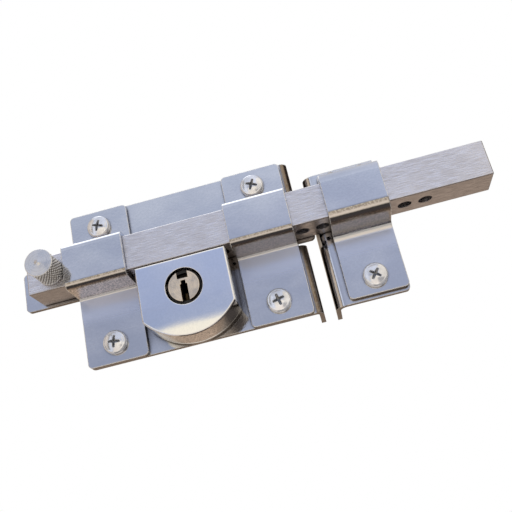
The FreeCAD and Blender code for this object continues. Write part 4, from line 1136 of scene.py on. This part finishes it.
WHITE_PANEL = (2.0, 2.0, 2.0)
WHITE_PANEL_OVER = (62, 96, 140, 152)
CREAM_PANEL = (1.25, 1.12, 0.98)
CREAM_PANEL_OVER = (140, 150, 172, 179)
EVEN_LIGHT = (1.0, 0.99, 0.97)
BACKDROP = (1.0, 1.0, 1.0)
SIDE_GAIN = 0.3
LAMP_SIZE = 0.8
LAMP_PLACE = (0.1, -0.45, 0.9)
LAMP_TURN = (math.radians(26), 0, math.radians(-6))
SENSOR_WIDTH = 36.0


class RIMLOCK_OT_stage(bpy.types.Operator):
    """Pale floor, soft lamp, surroundings and the camera of the photograph"""

    bl_idname = "rim_lock.stage"
    bl_label = "Set the stage"

    def execute(self, context):
        scene, studio = context.scene, context.scene.rim_lock_studio
        self.floor(studio, scene.rim_lock_colours)
        self.surroundings(scene)
        lamp = bpy.data.lights.new("overhead lamp", "AREA")
        lamp.shape, lamp.size, lamp.energy = "DISK", LAMP_SIZE, studio.lamp_power
        placed("overhead lamp", lamp, LAMP_PLACE, LAMP_TURN).visible_glossy = False
        lens = bpy.data.cameras.new("camera")
        lens.lens, lens.sensor_width, lens.clip_start = studio.camera_lens, SENSOR_WIDTH, 10 * MM
        scene.camera = placed("camera", lens, studio.camera_place, studio.camera_turn)
        scene.view_settings.view_transform = "Standard"
        return {"FINISHED"}

    def floor(self, studio, colours):
        """Square pale floor, faintly uneven in tone."""
        half, drop = studio.floor_width / 2, -studio.floor_drop
        corners = ((-half, -half), (half, -half), (half, half), (-half, half))
        mesh = bpy.data.meshes.new("floor")
        mesh.from_pydata([(x, y, drop) for x, y in corners], [], [(0, 1, 2, 3)])
        material, tree, vector = new_material("pale floor")
        tone = mix(tree, noise(tree, vector, 6.0), colours.floor, tinted(colours.floor, 0.97))
        mesh.materials.append(finish(material, tone, 0.8))
        floor = placed("floor", mesh)
        floor.visible_glossy = False

    def surroundings(self, scene):
        """White for the camera, even light for matt surfaces, and a soft room for metal.

        The room that metal mirrors has one ramp over the angle about X, from the front over
        the top to the back, which grows brighter to the right, and one round the sides, over
        the angle about Z. The second takes over where the way leans to a side. A soft white
        panel hangs over the left, a cream one behind on the right, and the room is dark low
        on the right.
        """
        scene.world = bpy.data.worlds.new("studio surroundings")
        scene.world.cycles.sampling_method = "NONE"
        tree = empty_tree(scene.world)
        x, y, z = parts(tree, tree.nodes.new("ShaderNodeTexCoord").outputs["Generated"])
        front = times(tree, y, -1.0)
        over = calc(tree, "ARCTAN2", z, front)
        gain = calc(tree, "ADD", times(tree, x, SIDE_GAIN), 1.0)
        room = self.ramp(tree, over, ROOM_OVER)
        room = add(tree, "ShaderNodeVectorMath", {0: room, 3: gain}, operation="SCALE").outputs[0]
        white_panel = band(tree, over, *np.radians(WHITE_PANEL_OVER))
        cream_panel = band(tree, over, *np.radians(CREAM_PANEL_OVER))
        right = times(tree, spread(tree, x, 0.3, 0.36), spread(tree, y, 0.3, 0.0))
        aside = most(tree, right, spread(tree, x, 0.34, 0.44), spread(tree, x, -0.40, -0.46))
        low = times(tree, spread(tree, z, -0.03, -0.14), spread(tree, y, 0.2, -0.1))
        room = layered(
            tree,
            room,
            (times(tree, white_panel, spread(tree, x, 0.03, -0.01)), WHITE_PANEL),
            (times(tree, cream_panel, spread(tree, x, 0.01, 0.04)), CREAM_PANEL),
            (aside, self.ramp(tree, calc(tree, "ARCTAN2", x, front), ROOM_ROUND)),
            (times(tree, low, spread(tree, x, 0.1, 0.22)), LOW_RIGHT),
        )
        path = tree.nodes.new("ShaderNodeLightPath").outputs
        lights = ((EVEN_LIGHT, 0.9), (room, 1.0), (BACKDROP, 1.0))
        matt, gloss, white = (
            add(tree, "ShaderNodeBackground", {0: tone, 1: power}).outputs[0] for tone, power in lights
        )
        inner = add(tree, "ShaderNodeMixShader", {0: path["Is Glossy Ray"], 1: matt, 2: gloss})
        seen = most(tree, path["Is Camera Ray"], path["Is Transmission Ray"])
        outer = add(tree, "ShaderNodeMixShader", {0: seen, 1: inner.outputs[0], 2: white})
        add(tree, "ShaderNodeOutputWorld", {"Surface": outer.outputs[0]})

    def ramp(self, tree, angle, stops):
        """Colour over an angle in radians, from stops given in degrees."""
        full_turn = {0: angle, 1: -math.pi, 2: math.pi}
        share = add(tree, "ShaderNodeMapRange", full_turn).outputs[0]
        node = add(tree, "ShaderNodeValToRGB", {0: share})
        marks = node.color_ramp.elements
        while len(marks) < len(stops):
            marks.new(0.5)
        for mark, (degrees, *tone) in zip(marks, stops):
            mark.position = (degrees + 180) / 360
            mark.color = (*tone, 1.0)
        return node.outputs[0]


OPERATORS = (
    RIMLOCK_OT_stage,
    RIMLOCK_OT_sheet,
    RIMLOCK_OT_bolt,
    RIMLOCK_OT_knob,
    RIMLOCK_OT_face_screws,
    RIMLOCK_OT_small_screws,
    RIMLOCK_OT_springs,
    RIMLOCK_OT_cylinder,
    RIMLOCK_OT_inner_steel,
)


class RIMLOCK_PT_panel(bpy.types.Panel):
    """Buttons for each piece, and their sizes and colours"""

    bl_idname = "RIMLOCK_PT_panel"
    bl_label = "Rim lock"
    bl_space_type = "VIEW_3D"
    bl_region_type = "UI"
    bl_category = "Rim lock"

    def draw(self, context):
        for operator in OPERATORS:
            self.layout.operator(operator.bl_idname)
        for name in GROUPS:
            column = self.layout.column()
            values = getattr(context.scene, name)
            for key in values.__annotations__:
                column.prop(values, key)


GROUPS = {
    "rim_lock_sizes": RimLockSizes,
    "rim_lock_colours": RimLockColours,
    "rim_lock_studio": RimLockStudio,
}
CLASSES = (*GROUPS.values(), *OPERATORS, RIMLOCK_PT_panel)


def register():
    """Registers the classes and hangs the property groups on the scene."""
    for item in CLASSES:
        bpy.utils.register_class(item)
    for name, group in GROUPS.items():
        setattr(bpy.types.Scene, name, bpy.props.PointerProperty(type=group))


def unregister():
    """Takes the property groups and classes away again."""
    for name in GROUPS:
        delattr(bpy.types.Scene, name)
    for item in reversed(CLASSES):
        bpy.utils.unregister_class(item)


def main():
    """Makes every piece and the stage."""
    register()
    for operator in OPERATORS:
        group, name = operator.bl_idname.split(".")
        getattr(getattr(bpy.ops, group), name)()


if __name__ == "__main__":
    main()
